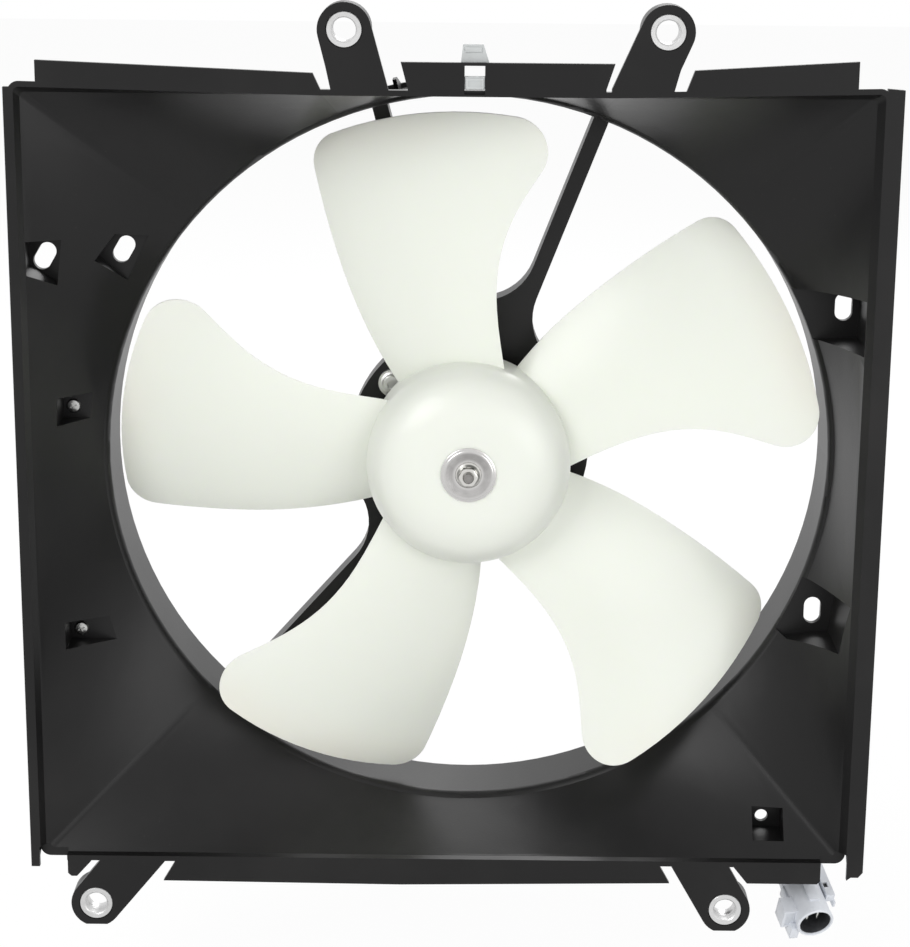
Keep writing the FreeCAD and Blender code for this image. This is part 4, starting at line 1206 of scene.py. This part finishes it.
@dataclass
class HubFastening(Assembly):
    """Washer, flange nut and threaded stud in the middle of the fan, and the rear of its hub."""

    body: str = "rotor"
    washer_rear: float = 14.05
    washer_outline: Profile = (
        (2.8, -0.5), (3.1, -0.55), (6.4, -0.55), (7.6, -0.62), (9.0, -0.85), (10.3, -1.12), (10.8, -1.2),
        (11.3, -1.12), (11.5, -0.95), (12.2, -0.9), (12.6, -0.7), (12.6, -0.15), (12.4, 0.0), (2.8, 0.0))
    nut_seat: float = 13.5
    nut_front: float = 8.9
    nut_across: float = 8.0
    nut_turn: float = -30.0
    nut_edge: float = 0.22
    nut_bore: float = 2.62
    flange_outline: Profile = (
        (2.6, -0.2), (2.6, -1.6), (4.3, -1.8), (5.1, -1.35), (5.8, -0.9), (6.0, -0.65), (6.0, -0.2),
        (5.8, 0.0), (2.9, 0.0))
    stud_front: float = 6.8
    stud_tip: Profile = ((0.5, -0.05), (1.3, -0.05), (1.45, -0.3), (1.9, -0.35), (2.2, -0.1))
    thread_start: float = 0.5
    thread_root: float = 2.505
    thread_crest: float = 2.56
    pitch: float = 0.8
    crest_shares: Point = (0.45, 0.55)
    rim_outline: Profile = (
        (44.9, 56.6), (47.0, 56.6), (47.0, 57.2), (46.6, 57.7), (45.3, 57.7), (44.9, 57.2))
    gate_circle: float = 9.3
    gate_turns: tuple[float, ...] = (18.0, 138.0, 258.0)
    gate_profile: Profile = ((0.6, 33.2), (1.6, 33.3), (1.6, 34.0), (1.3, 34.25), (0.5, 34.3))

    def build(self) -> None:
        """Builds the washer, the nut, the stud's thread, and the hub's rear rim and moulding points."""
        washer = ring(self.washer_outline, segments=72, datum=(0.0, self.washer_rear))
        self.add("washer_dished", Finish.WASHER, [washer], "fan_washer")
        self.add("nut_flanged", Finish.NUT, self.nut(), "fan_nut")
        self.add("stud_thread", Finish.STUD, [self.thread()])
        self.add("hub_rear_rim", Finish.FAN, [ring(self.rim_outline, segments=96)])
        mark = turned(self.gate_profile, (self.gate_circle, 0.0), 20)
        self.add("hub_gate_marks", Finish.FAN, copies(mark, map(about_axis, self.gate_turns)))

    def nut(self) -> list[Piece]:
        """Makes a hexagon with rounded edges and a sloping flange.

        Returns:
            The hexagon and the flange.
        """
        flange = ring(self.flange_outline, segments=56, datum=(0.0, self.nut_seat))
        hexagon = prism(6, self.nut_across / math.sqrt(3), self.nut_front, self.nut_seat - 1.0)
        bevelled(move(hexagon, about_axis(self.nut_turn)), self.nut_edge)
        smooth(hexagon, 30.0)
        bore = prism(32, self.nut_bore, self.nut_front - 1.0, self.nut_seat + 1.0)
        return [carve(hexagon, bore), flange]

    def thread(self) -> Piece:
        """Turns the visible part of the stud: its slightly hollow tip and its thread.

        Returns:
            The stud.
        """
        root, crest, depth = self.thread_root, self.thread_crest, self.stud_front + self.thread_start
        profile = [(radius, self.stud_front + rise) for radius, rise in self.stud_tip] + [(root, depth)]
        while depth < self.nut_front - self.thread_start:
            profile += [(crest, depth + self.pitch * share) for share in self.crest_shares]
            depth += self.pitch
            profile.append((root, depth))
        return turned(profile, segments=32)


@dataclass
class MotorFittings(Assembly):
    """What shows on the motor from behind: screws, beads, pressed dimples, vents and the outlet's rings."""

    can_radius: float = 36.0
    can_rear: float = 117.6
    screw_circle: float = 47.5
    screw_turns: tuple[float, ...] = (20.0, 140.0, 260.0)
    screw_seat: float = 66.4
    screw_profile: Profile = (
        (2.4, 14.1), (2.4, 0.0), (5.6, 0.0), (5.6, -0.7), (4.7, -1.1), (4.3, -2.9), (3.9, -3.2), (1.0, -3.2))
    socket_radius: float = 2.5
    socket_depths: Point = (-4.0, -1.4)
    bead_depths: tuple[float, ...] = (86.5, 110.2)
    bead_outline: Profile = ((-0.2, -1.4), (0.25, -1.1), (0.6, -0.4), (0.6, 0.4), (0.25, 1.1), (-0.2, 1.4))
    step_outline: Profile = ((23.4, -0.2), (23.8, 0.5), (24.6, 0.8), (25.8, 0.8), (26.6, 0.5), (27.0, -0.2))
    dimple_profile: Profile = ((3.0, -0.3), (3.0, 0.1), (2.5, 0.45), (1.4, 0.15), (0.3, 0.05))
    dimple_depths: tuple[float, ...] = (94.0, 103.5)
    dimple_turns: tuple[float, ...] = (45.0, 135.0, 225.0, 340.0)
    vent_circle: float = 17.5
    vent_half: float = 2.2
    vent_outline: Profile = ((1.5, -0.2), (2.5, -0.2), (2.5, 0.3), (2.1, 0.7), (1.8, 0.6), (1.5, 0.1))
    vent_turns: Sequence[int] = range(30, 390, 60)
    crimp: Box = Box((35.9, 48.2, -3.2), (36.9, 56.0, 3.2), 0.25)
    crimp_turns: Sequence[int] = range(0, 360, 60)
    boss_rear: float = 124.6
    cap_outline: Profile = (
        (1.6, -0.25), (2.0, -0.05), (5.6, -0.05), (6.4, -0.3), (7.2, -0.1), (9.7, 0.0), (10.75, -1.0),
        (10.75, -4.0), (10.45, -4.2), (10.2, -1.2), (1.6, -0.9))
    outlet_turn: float = 301.0
    outlet_depth: float = 106.0
    outlet_rings: tuple[float, ...] = (38.6, 39.9)
    outlet_outline: Profile = ((4.9, 0.0), (5.5, 0.1), (5.75, 0.4), (5.5, 0.7), (4.9, 0.8))
    outlet_end: Profile = (
        (2.0, 40.95), (3.6, 41.0), (4.4, 41.0), (4.4, 41.35), (3.9, 41.6), (2.6, 41.6), (2.0, 41.3))
    bracket_front: float = 66.5
    bracket_outline: Profile = ((36.3, 0.0), (36.6, -1.0), (37.3, -1.4), (38.2, -1.2), (38.8, 0.0))

    def build(self) -> None:
        """Builds the motor's details."""
        screws = copies(self.screw(), map(about_axis, self.screw_turns))
        self.add("motor_screws_socket", Finish.BRACKET, screws, "motor_screws")
        self.add("can_beads", Finish.CAN, self.beads())
        self.add("can_dimples", Finish.CAN, self.dimples())
        self.add("can_vents", Finish.CAN, copies(self.vent(), map(about_axis, self.vent_turns)))
        self.add("can_crimps", Finish.CAN, copies(self.tab(), map(about_axis, self.crimp_turns)))
        cap = ring(self.cap_outline, segments=56, datum=(0.0, self.boss_rear))
        self.add("rear_boss_cap", Finish.BRACKET, [cap])
        self.add("outlet_rings", Finish.RUBBER, self.outlet())
        bead = ring(self.bracket_outline, segments=80, datum=(0.0, self.bracket_front))
        self.add("bracket_bead", Finish.BRACKET, [bead])

    def screw(self) -> Piece:
        """Makes a flanged screw with a six-sided socket.

        Returns:
            The screw, on the +X side of the motor.
        """
        at, seat = (self.screw_circle, 0.0), self.screw_seat
        head = turned(self.screw_profile, at, 36, datum=(0.0, seat))
        front, rear = (seat + depth for depth in self.socket_depths)
        return carve(head, prism(6, self.socket_radius, front, rear, at))

    def beads(self) -> list[Piece]:
        """Makes two rolled beads round the can and a step on its rear face.

        Returns:
            The two beads and the step.
        """
        rings = [ring(self.bead_outline, segments=96, datum=(self.can_radius, depth))
                 for depth in self.bead_depths]
        return rings + [ring(self.step_outline, segments=80, datum=(0.0, self.can_rear))]

    def dimples(self) -> list[Piece]:
        """Makes the round dimples that hold the magnets, in two rows round the can.

        Returns:
            The dimples.
        """
        first = turned(self.dimple_profile, segments=24)
        move(first, shifted(self.can_radius, 0.0, 0.0) @ outwards())
        return copies(first, [about_axis(turn) @ shifted(0.0, depth, 0.0)
                                    for depth in self.dimple_depths for turn in self.dimple_turns])

    def vent(self) -> Piece:
        """Makes one long pressed louvre of the rear face.

        Returns:
            The louvre, on the +X side of the motor.
        """
        at = (self.vent_circle, 0.0)
        louvre = ring(self.vent_outline, at, 22, datum=(0.0, self.can_rear))
        return pulled_apart(louvre, at, self.vent_half, 0.0)

    def tab(self) -> Piece:
        """One tab that is staked over the end plate's edge, on the +X side of the motor."""
        return wedge(self.crimp, FRONT, (1.0, 1.0, 0.6), (self.can_radius, self.crimp.low[1], 0.0))

    def outlet(self) -> list[Piece]:
        """Makes the soft rings round the lead's outlet.

        Returns:
            The rings.
        """
        place = (about_axis(self.outlet_turn) @ shifted(0.0, self.outlet_depth, 0.0)
                 @ outwards())
        rings = [ring(self.outlet_outline, segments=32, datum=(0.0, start))
                 for start in self.outlet_rings]
        rings.append(ring(self.outlet_end, segments=32))
        return [move(piece, place) for piece in rings]


@dataclass
class Connector(Assembly):
    """Details of the two-pin socket under the lower flange, in the socket's own frame.

    In that frame the mouth lies in the plane of X and Z, and the barrel runs along +Y.
    """

    mouth: Place = (166.6, 5.0, -215.6)
    droop: float = 24.0
    swing: float = 13.5
    outer: float = 8.9
    bore: float = 7.5
    depth: float = 19.0
    lock: Box = Box((-14.4, 5.5, -7.2), (-7.6, 15.0, 3.6), 0.35)
    shelf: Box = Box((-9.6, 14.6, -4.6), (-7.4, 24.0, 1.4))
    foot: Box = Box((-10.6, 1.6, -11.2), (-6.4, 8.5, -4.6))
    tail: Box = Box((-7.2, 26.0, -6.6), (7.2, 34.0, 8.4), 0.6)
    channel: Box = Box((154.5, 21.9, -204.0), (167.5, 28.6, -186.0), 0.4)
    channel_space: Box = Box((156.4, 23.9, -198.2), (165.6, 26.6, -180.0), 0.0)
    # painted shade inside the barrel: the outline of its sheet on the wall, its gap, and its floor
    shade_sheet_outline: Profile = ((0.0, 0.9), (-0.25, 0.7), (-0.35, 1.0), (-0.35, 14.6), (-0.1, 14.9), (0.0, 14.9))
    shade_sheet_gap: float = 0.02
    floor_gap: float = 0.1
    floor_profile: Profile = (
        (6.2, 0.0), (6.2, -0.5), (5.9, -0.8), (4.9, -0.9), (4.7, -2.6), (4.4, -2.9), (0.6, -2.9))
    tongue: Box = Box((-2.6, 7.0, 8.3), (2.6, 24.0, 9.5), 0.25)
    catch: Box = Box((-3.4, 20.5, 9.0), (3.4, 23.5, 10.4))
    guide: Box = Box((8.2, 11.5, 1.4), (12.6, 36.5, 6.0), 0.35)
    guide_pocket: Box = Box((8.6, 16.6, 4.9), (10.7, 19.6, 7.0), 0.0)
    guide_rib: Box = Box((11.9, 10.0, -1.2), (13.2, 30.0, 2.0))
    # painted shade: a near-black sheet in the floor of the guide's pocket
    window_shade_sheet: Box = Box((8.65, 16.65, 4.6), (10.65, 19.55, 5.3), 0.1)
    blade: Box = Box((-0.45, 5.0, -2.3), (0.45, 18.95, 2.3), 0.12)
    blade_places: Point = (-2.5, 2.5)

    def build(self) -> None:
        """Builds the socket's details."""
        channel = carve(block(self.channel), block(self.channel_space))
        self.add("socket_housing", Finish.CONNECTOR, [*self.placed(self.cup(), *self.bodywork()), channel],
                 "connector_housing")
        # painted shade: a near-black sheet over the barrel's inside wall and floor
        self.add("socket_painted_shade_sheet", Finish.SOCKET, self.placed(*self.shade_lining()))
        self.add("socket_latch", Finish.CONNECTOR, self.placed(*self.latch()))
        self.add("socket_rail", Finish.CONNECTOR, self.placed(*self.rail()))
        # painted shade: a near-black sheet in the rail's pocket
        self.add("rail_window_painted_shade", Finish.SOCKET, self.placed(press(block(self.window_shade_sheet), UP, 0.3, 0.3)))
        self.add("terminal_blades", Finish.TERMINAL, self.placed(*map(self.pin, self.blade_places)),
                 "connector_terminals")

    def placed(self, *pieces: Piece) -> list[Piece]:
        """Moves pieces from the socket's own frame to the socket's place.

        Args:
            pieces: The pieces.

        Returns:
            The same pieces.
        """
        swing = Matrix.Rotation(math.radians(self.swing), 4, "Z")
        droop = Matrix.Rotation(math.radians(self.droop), 4, "X")
        return [move(piece, shifted(*self.mouth) @ swing @ droop) for piece in pieces]

    def cup(self) -> Piece:
        """Turns the barrel with its rounded mouth, its floor and a collar at its rear.

        Returns:
            The barrel.
        """
        bore, outer, deep = self.bore, self.outer, self.depth
        return turned([
            (0.6, deep), (bore, deep), (bore, 0.7), (bore + 0.3, 0.15), (outer - 0.55, 0.0), (outer, 0.5),
            (outer, 2.6), (outer - 0.25, 2.9), (outer - 0.25, 23.0), (outer + 0.3, 23.6), (outer + 0.3, 27.4),
            (outer - 0.4, 28.2), (0.6, 28.2)], segments=64)

    def bodywork(self) -> list[Piece]:
        """Makes what stands round the barrel.

        Returns:
            The lock with its shelf, the foot and the wire end.
        """
        return [press(block(self.lock), FRONT, 1.1, 0.5),
                wedge(self.shelf, REAR, (0.8, 1.0, 0.7), (-7.4, 24.0, 0.0)),
                wedge(self.foot, DOWN, (0.7, 0.8, 1.0), (-8.0, 4.0, -11.2)),
                press(block(self.tail), REAR, 1.2, -1.4)]

    def shade_lining(self) -> list[Piece]:
        """Makes painted shade inside the barrel: a near-black sheet on its wall and floor.

        Returns:
            Its wall, and its floor with a low step round the blades.
        """
        wall = ring(self.shade_sheet_outline, datum=(self.bore - self.shade_sheet_gap, 0.0))
        return [wall, turned(self.floor_profile, segments=40, datum=(0.0, self.depth - self.floor_gap))]

    def latch(self) -> list[Piece]:
        """A sprung tongue along the top of the barrel and its catch."""
        return [wedge(self.tongue, FRONT, (0.75, 1.0, 0.6), (0.0, 7.0, 8.6)),
                wedge(self.catch, UP, (0.85, 0.5, 1.0), (0.0, 22.6, 10.4))]

    def rail(self) -> list[Piece]:
        """The long guide on the right of the barrel, with a pocket whose floor gets a sheet of painted shade,
        and its rib.
        """
        guide = wedge(self.guide, FRONT, (0.9, 1.0, 0.75), (10.4, 11.5, 3.6))
        return [carve(guide, block(self.guide_pocket)),
                wedge(self.guide_rib, FRONT, (0.7, 1.0, 0.6), (12.4, 10.0, 0.8))]

    def pin(self, x: float) -> Piece:
        """Makes a flat blade with a chamfered tip.

        Args:
            x: Its place across.

        Returns:
            The blade.
        """
        (left, tip, bottom), (right, rear, top), bevel = self.blade
        return wedge(Box((x + left, tip, bottom), (x + right, rear, top), bevel), FRONT,
                           (0.6, 1.0, 0.75), (x, tip, 0.0))


@dataclass
class ClipFittings(Assembly):
    """Ribs and a nose on the grey clip in the upper flange."""

    nose: Box = Box((-2.9, 0.15, 175.6), (4.9, 1.1, 180.4))
    crown: Box = Box((-3.4, 2.05, 191.2), (4.0, 2.95, 193.6))
    crown_about: Place = (0.3, 2.55, 193.6)
    ribs: tuple[Box, Box] = (Box((-4.6, 4.55, 176.5), (-3.4, 5.95, 187.0), 0.2),
                             Box((5.4, 4.55, 176.5), (6.6, 5.95, 187.0), 0.2))
    rear: float = 4.75

    def build(self) -> None:
        """Builds the clip's details."""
        nose = press(block(self.nose), FRONT, 0.8, 0.3)
        crown = wedge(self.crown, UP, (0.8, 1.0, 1.0), self.crown_about)
        self.add("clip_nose", Finish.CLIP, [nose, crown])
        self.add("clip_ribs", Finish.CLIP, [
            wedge(rib, UP, (1.0, 0.4, 1.0), ((rib.low[0] + rib.high[0]) / 2, self.rear, rib.high[2]))
            for rib in self.ribs])


def main() -> None:
    """Dresses the frame, builds the detail and sets the scene."""
    logging.basicConfig(level=logging.INFO, format="%(message)s")
    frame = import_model()
    paints = Paints()
    slots = {row["node"]: row["material_slot"] for row in frame["record"]["subparts"]}
    for name, node in frame["nodes"].items():
        paints.dress(node, SLOT_FINISH[slots[name]])
        LOG.info("dressed %s", name)
    View().build()
    Studio().build()
    for assembly in (Ears(paints), PanelFittings(paints), HubFastening(paints), MotorFittings(paints),
                     Connector(paints), ClipFittings(paints)):
        assembly.build()
    clear_selection()


if __name__ == "__main__":
    main()
